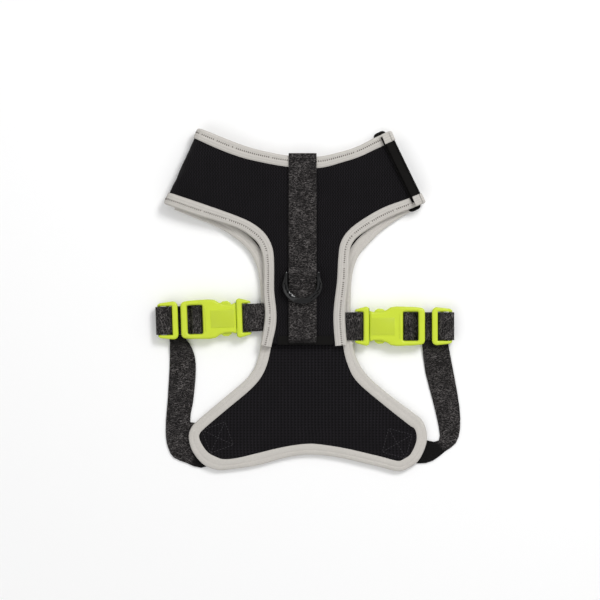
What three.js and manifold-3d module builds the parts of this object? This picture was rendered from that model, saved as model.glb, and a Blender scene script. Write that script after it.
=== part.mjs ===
// Adjustable mesh harness vest for a small dog, fastened and laid flat with its back panel on top.
// Millimetres, +Z up, +Y towards the neck, origin on the ground below the middle of the vest.
import * as THREE from "three";
import { mergeVertices } from "three/addons/utils/BufferGeometryUtils.js";
import Module from "manifold-3d";

const wasm = await Module();
wasm.setup();

// Clearances.
const GAP = 0.3; // between pieces that lie on each other
const FAR = 400; // longer than the vest, for cutting shapes
const CUT_OVERRUN = 1; // how far a cut runs past the end of what it cuts

// Fabric and webbing.
const WEBBING_WIDTH = 20.5;
const WEBBING_THICKNESS = 1.2;
const MESH_THICKNESS = 0.75; // one ply of mesh; a panel has an outer ply and a lining
const BINDING_WALL = 0.5;
const TAPE_THICKNESS = 0.6; // hook tape and loop tape
const PATCH_THICKNESS = 1.1;

// A bound edge is binding, outer ply, lining and binding again.
const OUTER_PLY_DEPTH = BINDING_WALL + GAP;
const LINING_DEPTH = OUTER_PLY_DEPTH + MESH_THICKNESS + GAP;
const PANEL_DEPTH = LINING_DEPTH + MESH_THICKNESS + GAP + BINDING_WALL;
const STRIP_DEPTH = OUTER_PLY_DEPTH + MESH_THICKNESS + GAP + BINDING_WALL;

// Heights of the layers, from the ground up.
const CHEST_BOTTOM = WEBBING_THICKNESS + GAP;
const CHEST_TOP = CHEST_BOTTOM + PANEL_DEPTH;
const STUB_BOTTOM = CHEST_TOP + GAP;
const BACK_BOTTOM = STUB_BOTTOM + WEBBING_THICKNESS + GAP;
const BACK_TOP = BACK_BOTTOM + PANEL_DEPTH;
const SPINE_BOTTOM = BACK_TOP + GAP;
const SPINE_TOP = SPINE_BOTTOM + WEBBING_THICKNESS;

// The spine strap and its ring.
const SPINE_X = -4.2;
const SPINE_START_Y = 107.8;
const SPINE_END_GAP = 1.1; // from the hem's lower edge to the end of the strap
const RING_X = -4.4;
const RING_SIDE_GAP = 0.75; // between the webbing's edge and the ring
const RING_SECTION = 3.8;
const RING_HEIGHT = 3.2;
const RING_BAR_Y = 19.2;
const RING_BAR_RADIUS = 1.2;
const RING_BOW_Y = -2.7;
const KEEPER_REACH = 6.5; // how far the keeper runs each side of the bar
const KEEPER_THICKNESS = 0.96;

// The neck loop: fold lines are given by their outward direction and their distance from the origin.
const LEFT_FOLD = { outward: [-0.91, 0.4146], distance: 126.5 };
const RIGHT_FOLD = { outward: [0.9, 0.4359], distance: 108.9 };
const LEFT_FOLD_RISE = 3.4; // the back panel lifts this much on its way to the left fold
const LEFT_RISE_CLEAR = 2.157; // the rise starts this far beyond the spine strap
const LEFT_RETURN = 8.7; // how far the folded arm comes back below, to the chest panel
const LEFT_SEAM = LEFT_FOLD.distance - LEFT_RETURN;

// The closing end: the strip folds over the end of the right arm, and its flap lies on the arm.
const STRIP_TOP_RADIUS = 1.9;
const STRIP_LOWER_RADIUS = 3;
const STRIP_FLAT = 0.3; // flat stretch between the flap and the strip's upper corner
const STRIP_RETURN = 1.7; // flat stretch from the lower corner to the seam with the chest panel
const FLAP_WIDTH = 5.45;
const FLAP_CREST = RIGHT_FOLD.distance - STRIP_TOP_RADIUS - STRIP_FLAT - GAP / 2;
const FLAP_EDGE = FLAP_CREST - FLAP_WIDTH;
const FLAP_BOTTOM = BACK_TOP + 2 * TAPE_THICKNESS + 3 * GAP;
const FLAP_TOP = FLAP_BOTTOM + STRIP_DEPTH;
const ARM_END_SPACE = 1.45; // between the end of the right arm and the strip round it
const RIGHT_ARM_END = RIGHT_FOLD.distance - STRIP_DEPTH - ARM_END_SPACE;
const RIGHT_SEAM = RIGHT_FOLD.distance - STRIP_LOWER_RADIUS - STRIP_RETURN;

// The lower end of the back panel.
const HEM_Y = -33;
const HEM_HEIGHT = 6.5;
const HEM_ACROSS = [-22.6, 17.9];

// Side-release buckles, measured outward from the end of the male base's ears.
const SLOT_HALF_WIDTH = WEBBING_WIDTH / 2 + 0.45;
const BUCKLE_SIDE_WALL = 3.9;
const BUCKLE_HALF_WIDTH = SLOT_HALF_WIDTH + BUCKLE_SIDE_WALL;
const BUCKLE_LENGTH = 51.5;
const BUCKLE_HEIGHT = 9;
const BUCKLE_BOTTOM = 1.6;
const SHELL_STEP = 0.4; // the male base is this much lower than the female on each face
const BASE_BAR_U = 3.3;
const BAR_RADIUS = 1.2;
const BRIDGE_START = 6.4;
const BASE_END = 10.6;
const MOUTH = BASE_END + GAP;
const CAVITY_END = 27;
const CAVITY_HEIGHT = 3.8;
const CAVITY_SIDE_WALL = 2.7;
const TONGUE_HALF_WIDTH = 2.2;
const PRONG_TIP = 24.5;
const END_BAR = 4.7; // the bar across the outer end of the female
const WINDOW_END = BUCKLE_LENGTH - END_BAR;
const WINDOW_START = WINDOW_END - 11.4;
const INNER_BAR_U = WINDOW_END - 5.8;
const SLIDER_LENGTH = 16.4;
const SLIDER_HALF_WIDTH = SLOT_HALF_WIDTH + 3.3;
const SLIDER_HEIGHT = 5.6;
const SLIDER_INNER_BAR = 4.1;
const SLIDER_BAR_SPACING = 6.4;
const STUB_SEWN_END = -24; // how far the stub webbing runs in between the panels

// Each buckle starts at its inner end and runs outward, turned from +X.
const SIDES = {
  left: { innerEnd: [-42.23, -13.1], turn: 182, sliderGap: 2.3 },
  right: { innerEnd: [34.3, -19.4], turn: 0, sliderGap: 5.4 },
};

// Outlines, clockwise seen from above, so that the vest is always on the right of the way they run.
const NECK_EDGE = [
  [-112, 139.3], [-81.2, 126.7], [-51.7, 115], [-35.7, 110.2], [-14.7, 106.2],
  [6.4, 105.4], [23.8, 108.9], [36.5, 113.1], [48.4, 119.1], [57.9, 123.2], [78, 131.6],
];
const NECK_INNER = [
  [-112, 131.6], [-84.6, 119.1], [-67.7, 111.4], [-51.7, 105.4], [-35.7, 101.4], [-14.7, 97.8],
  [6.4, 96.9], [19.5, 99.5], [36.5, 105.4], [49.2, 110.6], [63.9, 117.5], [82, 126],
];
const RIGHT_EDGE = [
  [100, 77.5], [76.7, 67.6], [57.7, 59.6], [39.6, 48.8], [31.8, 40.5],
  [30.1, 30], [29.6, 15], [27.2, -9], [27.6, -22], [28.6, HEM_Y],
];
const RIGHT_INNER = [
  [104, 85], [83.4, 77.6], [57.7, 68.9], [40.7, 59.6], [29.7, 51.1],
  [23.8, 42], [22, 29.5], [21.2, 14.2], [18.9, -5], [18.6, -18], [19.8, HEM_Y],
];
const LEFT_EDGE = [
  [-35.4, HEM_Y], [-33.1, -22], [-31.9, -10], [-32.9, 5], [-33.1, 28], [-36.5, 40.4],
  [-43.7, 47.6], [-51.7, 52.5], [-65.3, 57.2], [-83.8, 62.8], [-106.5, 70.9], [-126, 78],
];
const LEFT_INNER = [
  [-27, HEM_Y], [-23.7, -18.6], [-23.7, -7], [-25.2, 8], [-25.4, 31.5], [-26.9, 40],
  [-31.6, 48.4], [-39.7, 55.6], [-51.7, 61.3], [-63.9, 65.8], [-79.8, 71.3], [-103.1, 79.1], [-124, 86],
];
const CHEST_NECK_DROP = 1.6; // the chest side of the neck hides behind the back side
const CHEST_EDGE = [
  [98, 76.5], [85, 70.2], [66.2, 59.6], [53.4, 50.2], [43.3, 40], [37.2, 32.6], [33.1, 21.4],
  [31.6, 8], [31.4, -12], [33.4, -33.2], [36.5, -44.9], [44, -56.2], [59.7, -70], [77.7, -83.5],
  [84.1, -88.9], [87.4, -97.5], [87, -107], [81.6, -118.5], [74.1, -124.2], [66, -126.6],
  [50.8, -122.9], [23.9, -116.7], [6, -114.4], [-7.6, -114.9], [-20.9, -117.6], [-38.5, -122.4],
  [-59.7, -125.4], [-68.3, -125.4], [-77.6, -121.4], [-85.3, -112.2], [-88.3, -102], [-86.6, -94.6],
  [-81, -88.4], [-64, -74], [-47, -59.6], [-39.4, -49.4], [-35.5, -35.6], [-34.2, -18],
  [-35, 4], [-37, 21], [-41, 31.5], [-46.8, 39.6], [-55.7, 46.8], [-67.7, 54], [-83.8, 60.5],
  [-104, 68.6], [-124, 76.5],
];
const CHEST_INNER = [
  [98, 85], [81, 76], [62.5, 66.5], [49, 56.5], [37.5, 46], [30.3, 36.5], [25.5, 24],
  [23.8, 9], [23.6, -12], [25.7, -33.2], [29.4, -48.5], [36.5, -61], [59.7, -80.7], [76.7, -94.2],
  [80.4, -98.5], [80.1, -106.1], [75.2, -114.4], [65.7, -118.9], [32.9, -111.3], [10.4, -106.8],
  [-3, -106.3], [-20.9, -109.1], [-40, -113.7], [-59.7, -117.7], [-72.4, -113.6], [-77.5, -108],
  [-80.5, -101.2], [-78.6, -95.9], [-55.5, -76.5], [-38.5, -59.6], [-31.7, -47.4], [-27.9, -34.1],
  [-26.5, -16], [-27.3, 4], [-29.6, 21], [-33.8, 34], [-40.5, 44], [-51, 53.5], [-64.5, 61.3],
  [-80.5, 68.4], [-101, 76.6], [-121, 84.5],
];
const BELLY_STRAPS = {
  left: [
    [-103.4, -23], [-102.3, -31.5], [-102.6, -51.1], [-103.8, -72.3], [-105.2, -89.2], [-105.2, -102],
    [-103.5, -109.6], [-99.7, -116.5], [-90, -120.6], [-79.3, -124.2], [-68, -119], [-58.5, -103],
    [-66, -92.5], [-78, -90], [-87.3, -90.5], [-85.3, -76.3], [-83.5, -59.6], [-83.2, -47.4],
    [-84.6, -39.3], [-87.6, -32.5], [-92, -27],
  ],
  right: [
    [102.2, -25], [103.7, -34.1], [108.2, -57.5], [111.8, -79], [112.3, -95.2], [109.2, -105.9],
    [101, -112.2], [92.2, -118.9], [81.5, -121], [68, -117], [57, -106], [64, -95], [76, -97.5],
    [88.1, -104], [96.6, -104], [96.6, -94.3], [92.1, -74.5], [86.7, -53.9], [84.2, -34.1], [84.2, -26],
  ],
};

// Materials.
const finishes = {
  airMesh: { color: 0x19181a, roughness: 0.95, metalness: 0 },
  binding: { color: 0xc6c0ba, roughness: 0.9, metalness: 0 },
  webbing: { color: 0x2c2c30, roughness: 0.9, metalness: 0 },
  limePlastic: { color: 0xcbe034, roughness: 0.4, metalness: 0 },
  blackRing: { color: 0x101012, roughness: 0.2, metalness: 0.6 },
  closureTape: { color: 0x151515, roughness: 1, metalness: 0 },
};

const vest = new THREE.Group();

// Solid helpers.

function solid(geometry) {
  const bare = geometry.clone();
  bare.deleteAttribute("normal");
  bare.deleteAttribute("uv");
  const merged = mergeVertices(bare, 1e-4);
  return new wasm.Manifold(
    new wasm.Mesh({
      numProp: 3,
      vertProperties: merged.attributes.position.array,
      triVerts: new Uint32Array(merged.index.array),
    }),
  );
}

function addPiece(name, shape, finish, parent = vest) {
  const { vertProperties, triVerts } = shape.getMesh();
  const geometry = new THREE.BufferGeometry();
  geometry.setAttribute("position", new THREE.BufferAttribute(vertProperties, 3));
  geometry.setIndex(new THREE.BufferAttribute(triVerts, 1));
  geometry.computeVertexNormals();
  const mesh = new THREE.Mesh(geometry, new THREE.MeshStandardMaterial(finishes[finish]));
  mesh.name = name;
  parent.add(mesh);
  return mesh;
}

function prism(points, bottom, top) {
  const shape = new THREE.Shape(points.map(([x, y]) => new THREE.Vector2(x, y)));
  const geometry = new THREE.ExtrudeGeometry(shape, { depth: top - bottom, bevelEnabled: false });
  return solid(geometry.translate(0, 0, bottom));
}

function block([x0, x1], [y0, y1], [z0, z1]) {
  const geometry = new THREE.BoxGeometry(x1 - x0, y1 - y0, z1 - z0);
  return solid(geometry.translate((x0 + x1) / 2, (y0 + y1) / 2, (z0 + z1) / 2));
}

// A rod across a strap, along Y.
function crossRod(x, z, radius, halfLength) {
  const geometry = new THREE.CylinderGeometry(radius, radius, 2 * halfLength, 16);
  return solid(geometry.translate(x, 0, z));
}

// A section drawn as [distance outward, height] and drawn out along a fold line.
function alongFold(fold, section) {
  const shape = new THREE.Shape(section.map(([s, z]) => new THREE.Vector2(s, z)));
  const geometry = new THREE.ExtrudeGeometry(shape, { depth: FAR, bevelEnabled: false });
  const outward = new THREE.Vector3(...fold.outward, 0).normalize();
  const up = new THREE.Vector3(0, 0, 1);
  const along = outward.clone().cross(up);
  geometry.translate(0, 0, -FAR / 2);
  return solid(geometry.applyMatrix4(new THREE.Matrix4().makeBasis(outward, up, along)));
}

function betweenFolds(fold, from, to, bottom = -FAR / 2, top = FAR / 2) {
  return alongFold(fold, [[from, bottom], [to, bottom], [to, top], [from, top]]);
}

function smooth(points, perSpan = 2) {
  const curve = new THREE.SplineCurve(points.map(([x, y]) => new THREE.Vector2(x, y)));
  return curve.getPoints((points.length - 1) * perSpan).map((p) => [p.x, p.y]);
}

// Moves each point of a line to the right of the way it runs.
function inset(line, distance) {
  return line.map(([x, y], i) => {
    const before = line[Math.max(i - 1, 0)];
    const after = line[Math.min(i + 1, line.length - 1)];
    const length = Math.hypot(after[0] - before[0], after[1] - before[1]);
    return [
      x + (distance * (after[1] - before[1])) / length,
      y - (distance * (after[0] - before[0])) / length,
    ];
  });
}

function arc([x, y], radius, from, to, steps) {
  return Array.from({ length: steps + 1 }, (_, i) => {
    const angle = THREE.MathUtils.degToRad(from + ((to - from) * i) / steps);
    return [x + radius * Math.cos(angle), y + radius * Math.sin(angle)];
  });
}

// Carries a line straight on at both ends, so that a cut along it goes right through.
function lengthened(line, distance) {
  const past = ([x0, y0], [x1, y1]) => {
    const share = distance / Math.hypot(x1 - x0, y1 - y0);
    return [x1 + share * (x1 - x0), y1 + share * (y1 - y0)];
  };
  return [past(line[1], line[0]), ...line, past(line.at(-2), line.at(-1))];
}

// The layer of a panel that lies between two depths under its outer face.
function layer(face, near, far) {
  return [...inset(face, near), ...inset(face, far).reverse()];
}

// A layer that runs past both ends of its face, for cutting.
function longLayer(face, near, far) {
  return layer(lengthened(face, CUT_OVERRUN), near, far);
}

// Outer faces, as lines of [distance outward, height].

function leftBackFace() {
  const top = BACK_TOP + LEFT_FOLD_RISE;
  const radius = (top - CHEST_BOTTOM) / 2;
  const crest = LEFT_FOLD.distance - radius;
  const [nx, ny] = LEFT_FOLD.outward;
  const strapReach = nx * (SPINE_X - WEBBING_WIDTH / 2) + ny * SPINE_START_Y;
  const riseStart = strapReach + LEFT_RISE_CLEAR;
  const riseSteps = 6;
  const rise = Array.from({ length: riseSteps }, (_, i) => {
    const t = i / riseSteps;
    const s = THREE.MathUtils.lerp(riseStart, crest, t);
    return [s, BACK_TOP + LEFT_FOLD_RISE * THREE.MathUtils.smoothstep(t, 0, 1)];
  });
  const turn = arc([crest, top - radius], radius, 90, -90, 10);
  return [[-FAR / 2, BACK_TOP], ...rise, ...turn, [LEFT_SEAM, CHEST_BOTTOM]];
}

function rightBackFace() {
  return [[-FAR / 2, BACK_TOP], [RIGHT_ARM_END, BACK_TOP]];
}

function foldStripFace() {
  const upper = [RIGHT_FOLD.distance - STRIP_TOP_RADIUS, FLAP_TOP - STRIP_TOP_RADIUS];
  const lower = [RIGHT_FOLD.distance - STRIP_LOWER_RADIUS, CHEST_BOTTOM + STRIP_LOWER_RADIUS];
  return [
    [FLAP_CREST + GAP / 2, FLAP_TOP],
    ...arc(upper, STRIP_TOP_RADIUS, 90, 0, 4),
    ...arc(lower, STRIP_LOWER_RADIUS, 0, -90, 5),
    [RIGHT_SEAM + GAP, CHEST_BOTTOM],
  ];
}

function flapFace() {
  return [[FLAP_EDGE, FLAP_TOP], [FLAP_CREST - GAP / 2, FLAP_TOP]];
}

// Panels.

const neckEdge = smooth(NECK_EDGE);
const rightEdge = smooth(RIGHT_EDGE);
const leftEdge = smooth(LEFT_EDGE);
const chestEdge = smooth(CHEST_EDGE);
const chestNeckEdge = inset(neckEdge, CHEST_NECK_DROP);
const bands = {
  neck: [...neckEdge, ...smooth(NECK_INNER).reverse()],
  right: [...rightEdge, ...smooth(RIGHT_INNER).reverse()],
  left: [...leftEdge, ...smooth(LEFT_INNER).reverse()],
  chestNeck: [...chestNeckEdge, ...inset(smooth(NECK_INNER), CHEST_NECK_DROP).reverse()],
  chest: [...chestEdge, ...smooth(CHEST_INNER, 1).reverse()],
};

function column(outline) {
  return prism(outline, -FAR / 2, FAR / 2);
}

function backOutline(distance) {
  return [...inset(neckEdge, distance), ...inset(rightEdge, distance), ...inset(leftEdge, distance)];
}

function chestOutline(distance) {
  return [...inset(chestNeckEdge, distance), ...inset(chestEdge, distance)];
}

function backLayer(near, far, section = layer) {
  const left = alongFold(LEFT_FOLD, section(leftBackFace(), near, far));
  const right = alongFold(RIGHT_FOLD, section(rightBackFace(), near, far));
  const leftHalf = block([-FAR, SPINE_X], [-FAR, FAR], [-FAR, FAR]);
  return left.intersect(leftHalf).add(right.subtract(leftHalf));
}

function backPly(depth) {
  const hemFold = HEM_Y + BINDING_WALL + GAP;
  return backLayer(depth, depth + MESH_THICKNESS)
    .intersect(column(backOutline(OUTER_PLY_DEPTH)))
    .intersect(block([-FAR, FAR], [hemFold, FAR], [-FAR, FAR]));
}

// Binding folded round an edge, open towards the panel so that both plies slide in.
function channel(outer, inside, band, outline) {
  return outer.intersect(column(band)).subtract(inside.intersect(column(outline)));
}

function addBackPanel() {
  addPiece("back_panel_outer_mesh", backPly(OUTER_PLY_DEPTH), "airMesh");
  addPiece("back_panel_lining", backPly(LINING_DEPTH), "airMesh");
  const outer = backLayer(0, PANEL_DEPTH);
  const inside = backLayer(BINDING_WALL, PANEL_DEPTH - BINDING_WALL, longLayer);
  const outline = backOutline(BINDING_WALL);
  addPiece("back_neck_binding", channel(outer, inside, bands.neck, outline), "binding");
  addPiece("right_armhole_binding", channel(outer, inside, bands.right, outline), "binding");
  addPiece("left_armhole_binding", channel(outer, inside, bands.left, outline), "binding");
}

function addBackHem() {
  const wrap = block(HEM_ACROSS, [HEM_Y, HEM_Y + HEM_HEIGHT], [BACK_BOTTOM, BACK_TOP]);
  const inside = [BACK_BOTTOM + BINDING_WALL, BACK_TOP - BINDING_WALL];
  const hollow = block([-FAR, FAR], [HEM_Y + BINDING_WALL, FAR], inside);
  addPiece("back_hem", wrap.subtract(hollow), "closureTape");
}

function chestPiece(outline, bottom, top) {
  return prism(outline, bottom, top)
    .intersect(betweenFolds(LEFT_FOLD, -FAR / 2, LEFT_SEAM - GAP))
    .intersect(betweenFolds(RIGHT_FOLD, -FAR / 2, RIGHT_SEAM));
}

function addChestPanel() {
  const outline = chestOutline(OUTER_PLY_DEPTH);
  const outerPly = CHEST_BOTTOM + OUTER_PLY_DEPTH;
  const lining = CHEST_BOTTOM + LINING_DEPTH;
  addPiece("chest_panel_outer_mesh", chestPiece(outline, outerPly, outerPly + MESH_THICKNESS), "airMesh");
  addPiece("chest_panel_lining", chestPiece(outline, lining, lining + MESH_THICKNESS), "airMesh");
  const hollow = prism(chestOutline(BINDING_WALL), CHEST_BOTTOM + BINDING_WALL, CHEST_TOP - BINDING_WALL);
  const edges = { chest_neck_binding: bands.chestNeck, chest_edge_binding: bands.chest };
  for (const [name, band] of Object.entries(edges)) {
    addPiece(name, chestPiece(band, CHEST_BOTTOM, CHEST_TOP).subtract(hollow), "binding");
  }
}

// The closing end of the neck: a fold strip, the flap on top and its tapes.

function addFoldPieces(prefix, plyName, face) {
  const whole = alongFold(RIGHT_FOLD, layer(face, 0, STRIP_DEPTH));
  const inside = alongFold(RIGHT_FOLD, longLayer(face, BINDING_WALL, STRIP_DEPTH - BINDING_WALL));
  const ply = alongFold(RIGHT_FOLD, layer(face, OUTER_PLY_DEPTH, OUTER_PLY_DEPTH + MESH_THICKNESS));
  const outline = backOutline(BINDING_WALL);
  addPiece(plyName, ply.intersect(column(backOutline(OUTER_PLY_DEPTH))), "closureTape");
  addPiece(prefix + "_upper_binding", channel(whole, inside, bands.neck, outline), "binding");
  addPiece(prefix + "_lower_binding", channel(whole, inside, bands.right, outline), "binding");
}

// A patch given by its reach outward and along the right fold line.
function foldPatch([from, to], [start, end], bottom, thickness, corner) {
  const outline = [
    ...arc([to - corner, end - corner], corner, 90, 0, 4).reverse(),
    ...arc([from + corner, end - corner], corner, 180, 90, 4).reverse(),
    ...arc([from + corner, start + corner], corner, 270, 180, 4).reverse(),
    ...arc([to - corner, start + corner], corner, 360, 270, 4).reverse(),
  ];
  const [nx, ny] = RIGHT_FOLD.outward;
  return prism(outline.map(([s, t]) => [s * nx - t * ny, s * ny + t * nx]), bottom, bottom + thickness);
}

function addNeckClosure() {
  addFoldPieces("fold", "neck_fold_strip", foldStripFace());
  addFoldPieces("flap", "neck_flap", flapFace());
  const tapeRun = [31, 84];
  const tapeEdge = 0.6;
  const loopBottom = BACK_TOP + GAP;
  const hookBottom = loopBottom + TAPE_THICKNESS + GAP;
  const loopReach = [RIGHT_ARM_END - 7.6, RIGHT_ARM_END - tapeEdge];
  const hookReach = [FLAP_EDGE + tapeEdge, FLAP_CREST - tapeEdge];
  const patchReach = [RIGHT_ARM_END - 9.8, RIGHT_ARM_END];
  const loopTape = foldPatch(loopReach, tapeRun, loopBottom, TAPE_THICKNESS, 1);
  const hookTape = foldPatch(hookReach, tapeRun, hookBottom, TAPE_THICKNESS, 1);
  const patch = foldPatch(patchReach, [24.8, 88.6], CHEST_TOP + GAP, PATCH_THICKNESS, 3);
  addPiece("neck_loop_tape", loopTape, "closureTape");
  addPiece("flap_hook_tape", hookTape, "closureTape");
  addPiece("neck_closure_patch", patch, "closureTape");
}

// The spine strap, its ring and the webbing keeper over the ring's bar.

function addSpine() {
  const across = [SPINE_X - WEBBING_WIDTH / 2, SPINE_X + WEBBING_WIDTH / 2];
  const along = [HEM_Y + SPINE_END_GAP, SPINE_START_Y];
  addPiece("spine_strap", block(across, along, [SPINE_BOTTOM, SPINE_TOP]), "webbing");

  const ringBottom = SPINE_TOP + GAP;
  const ringTop = ringBottom + RING_HEIGHT;
  const barHeight = ringBottom + RING_BAR_RADIUS;
  const innerRadius = WEBBING_WIDTH / 2 + RING_SIDE_GAP;
  const outerRadius = innerRadius + RING_SECTION;
  const centreY = RING_BOW_Y + outerRadius;
  const legEnd = RING_BAR_Y + RING_BAR_RADIUS;
  const bow = [
    ...arc([RING_X, centreY], outerRadius, 180, 360, 20),
    [RING_X + outerRadius, legEnd],
    [RING_X + innerRadius, legEnd],
    ...arc([RING_X, centreY], innerRadius, 360, 180, 16),
    [RING_X - innerRadius, legEnd],
    [RING_X - outerRadius, legEnd],
  ];
  const bar = new THREE.CylinderGeometry(RING_BAR_RADIUS, RING_BAR_RADIUS, 2 * innerRadius + 2, 16);
  bar.rotateZ(Math.PI / 2);
  bar.translate(RING_X, RING_BAR_Y, barHeight);
  addPiece("d_ring", prism(bow, ringBottom, ringTop).add(solid(bar)), "blackRing");

  const hump = RING_BAR_RADIUS + GAP;
  const humpFoot = hump + 1.4;
  const flat = SPINE_TOP + GAP;
  const underside = [
    [RING_BAR_Y - KEEPER_REACH, flat],
    [RING_BAR_Y - humpFoot, flat],
    ...arc([RING_BAR_Y, barHeight], hump, 160, 20, 6),
    [RING_BAR_Y + humpFoot, flat],
    [RING_BAR_Y + KEEPER_REACH, flat],
  ];
  const topside = inset(underside, -KEEPER_THICKNESS);
  const loop = [...underside, ...topside.reverse()];
  const section = new THREE.Shape(loop.map(([y, z]) => new THREE.Vector2(y, z)));
  const keeper = new THREE.ExtrudeGeometry(section, { depth: WEBBING_WIDTH, bevelEnabled: false });
  const yAxis = new THREE.Vector3(0, 1, 0);
  const zAxis = new THREE.Vector3(0, 0, 1);
  keeper.applyMatrix4(new THREE.Matrix4().makeBasis(yAxis, zAxis, new THREE.Vector3(1, 0, 0)));
  addPiece("ring_keeper", solid(keeper.translate(across[0], 0, 0)), "webbing");
}

// Buckle pieces are drawn with X outward from the vest, Y across the strap and Z up.

const MIDDLE = BUCKLE_HEIGHT / 2;
const LOOP_INNER = BAR_RADIUS + GAP;
const LOOP_OUTER = LOOP_INNER + WEBBING_THICKNESS;

// Webbing wrapped round one or two bars.
function wrap(from, to, height) {
  const ring = (radius, halfWidth) =>
    crossRod(from, height, radius, halfWidth)
      .add(crossRod(to, height, radius, halfWidth))
      .add(block([from - 0.01, to + 0.01], [-halfWidth, halfWidth], [height - radius, height + radius]));
  return ring(LOOP_OUTER, WEBBING_WIDTH / 2).subtract(ring(LOOP_INNER, WEBBING_WIDTH));
}

function stubWebbing() {
  const bottom = STUB_BOTTOM - BUCKLE_BOTTOM;
  const tail = block(
    [STUB_SEWN_END, BASE_BAR_U - LOOP_INNER - 0.2],
    [-WEBBING_WIDTH / 2, WEBBING_WIDTH / 2],
    [bottom, bottom + WEBBING_THICKNESS],
  );
  return wrap(BASE_BAR_U, BASE_BAR_U, MIDDLE).add(tail);
}

function mirrored(outline) {
  return [...outline, ...outline.map(([u, v]) => [u, -v]).reverse()];
}

function maleBase() {
  const half = BUCKLE_HALF_WIDTH;
  const body = mirrored([
    [0, half - 3.4], [0.6, half - 2.2], [5.5, half - 0.8], [8.6, half - 0.1], [BASE_END, half - 1.2],
  ]);
  const shell = prism(body, SHELL_STEP, BUCKLE_HEIGHT - SHELL_STEP);
  const slot = [-SLOT_HALF_WIDTH, SLOT_HALF_WIDTH];
  const webbingSpace = block([-1, BRIDGE_START], slot, [-1, BUCKLE_HEIGHT + 1]);
  const tongue = block(
    [BASE_END - 1, PRONG_TIP],
    [-TONGUE_HALF_WIDTH, TONGUE_HALF_WIDTH],
    [MIDDLE - CAVITY_HEIGHT / 2 + GAP, MIDDLE + CAVITY_HEIGHT / 2 - GAP],
  );
  const bar = crossRod(BASE_BAR_U, MIDDLE, BAR_RADIUS, SLOT_HALF_WIDTH + 1);
  return shell.subtract(webbingSpace).add(bar).add(tongue);
}

function prong() {
  const half = BUCKLE_HALF_WIDTH;
  const outline = [
    [MOUTH, half - 9.6], [MOUTH, half - 7.4], [13.5, half - 6.4], [14.8, half - 3], [17, half - 1.6],
    [20.5, half - 1.8], [PRONG_TIP, half - 4.8], [PRONG_TIP, half - 7], [16, half - 8.4],
  ];
  const reach = CAVITY_HEIGHT / 2 - GAP;
  return prism(outline, MIDDLE - reach, MIDDLE + reach);
}

function female() {
  const half = BUCKLE_HALF_WIDTH;
  const corner = 3.2;
  const body = mirrored([
    [MOUTH, half - 3.2], [14, half - 4.2], [20, half - 4], [23.5, half - 2.6], [26.5, half - 0.6],
    [31, half], [BUCKLE_LENGTH - 6.5, half - 0.5],
    ...arc([BUCKLE_LENGTH - corner, half - 1 - corner], corner, 80, 0, 4),
  ]);
  const cavityHalf = half - CAVITY_SIDE_WALL;
  const cavity = block(
    [0, CAVITY_END],
    [-cavityHalf, cavityHalf],
    [MIDDLE - CAVITY_HEIGHT / 2, MIDDLE + CAVITY_HEIGHT / 2],
  );
  const slot = [-SLOT_HALF_WIDTH, SLOT_HALF_WIDTH];
  const window = block([WINDOW_START, WINDOW_END], slot, [-1, BUCKLE_HEIGHT + 1]);
  const tailSpace = MIDDLE - LOOP_INNER + GAP + 0.2;
  const underEndBar = block([WINDOW_END - 1, BUCKLE_LENGTH + 1], slot, [-1, tailSpace]);
  return prism(body, 0, BUCKLE_HEIGHT)
    .subtract(cavity)
    .subtract(window)
    .subtract(underEndBar)
    .add(crossRod(INNER_BAR_U, MIDDLE, BAR_RADIUS, SLOT_HALF_WIDTH + 1));
}

function sliderBars(start) {
  const outer = start + SLIDER_LENGTH - LOOP_OUTER;
  return { inner: outer - SLIDER_BAR_SPACING, outer };
}

function loopWebbing(start) {
  const bars = sliderBars(start);
  const tail = block(
    [INNER_BAR_U, bars.outer],
    [-WEBBING_WIDTH / 2, WEBBING_WIDTH / 2],
    [MIDDLE - LOOP_OUTER, MIDDLE - LOOP_INNER - 0.001],
  );
  return wrap(INNER_BAR_U, INNER_BAR_U, MIDDLE).add(wrap(bars.inner, bars.outer, MIDDLE)).add(tail);
}

function slider(start) {
  const bars = sliderBars(start);
  const half = SLIDER_HALF_WIDTH;
  const corner = 3.5;
  const end = bars.outer + BAR_RADIUS;
  const frame = mirrored([
    ...arc([start + corner, half - corner], corner, 180, 90, 4),
    ...arc([end - corner + 1, half - corner], corner - 1, 90, 0, 4),
  ]);
  const bottom = MIDDLE - LOOP_OUTER;
  const slot = [-SLOT_HALF_WIDTH, SLOT_HALF_WIDTH];
  const window = block([start + SLIDER_INNER_BAR, FAR], slot, [-1, BUCKLE_HEIGHT + 1]);
  const underBar = block([start - 1, start + SLIDER_INNER_BAR + 1], slot, [-1, MIDDLE - LOOP_INNER + GAP]);
  return prism(frame, bottom, bottom + SLIDER_HEIGHT)
    .subtract(window)
    .subtract(underBar)
    .add(crossRod(bars.inner, MIDDLE, BAR_RADIUS, SLOT_HALF_WIDTH + 1))
    .add(crossRod(bars.outer, MIDDLE, BAR_RADIUS, SLOT_HALF_WIDTH + 1));
}

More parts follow.
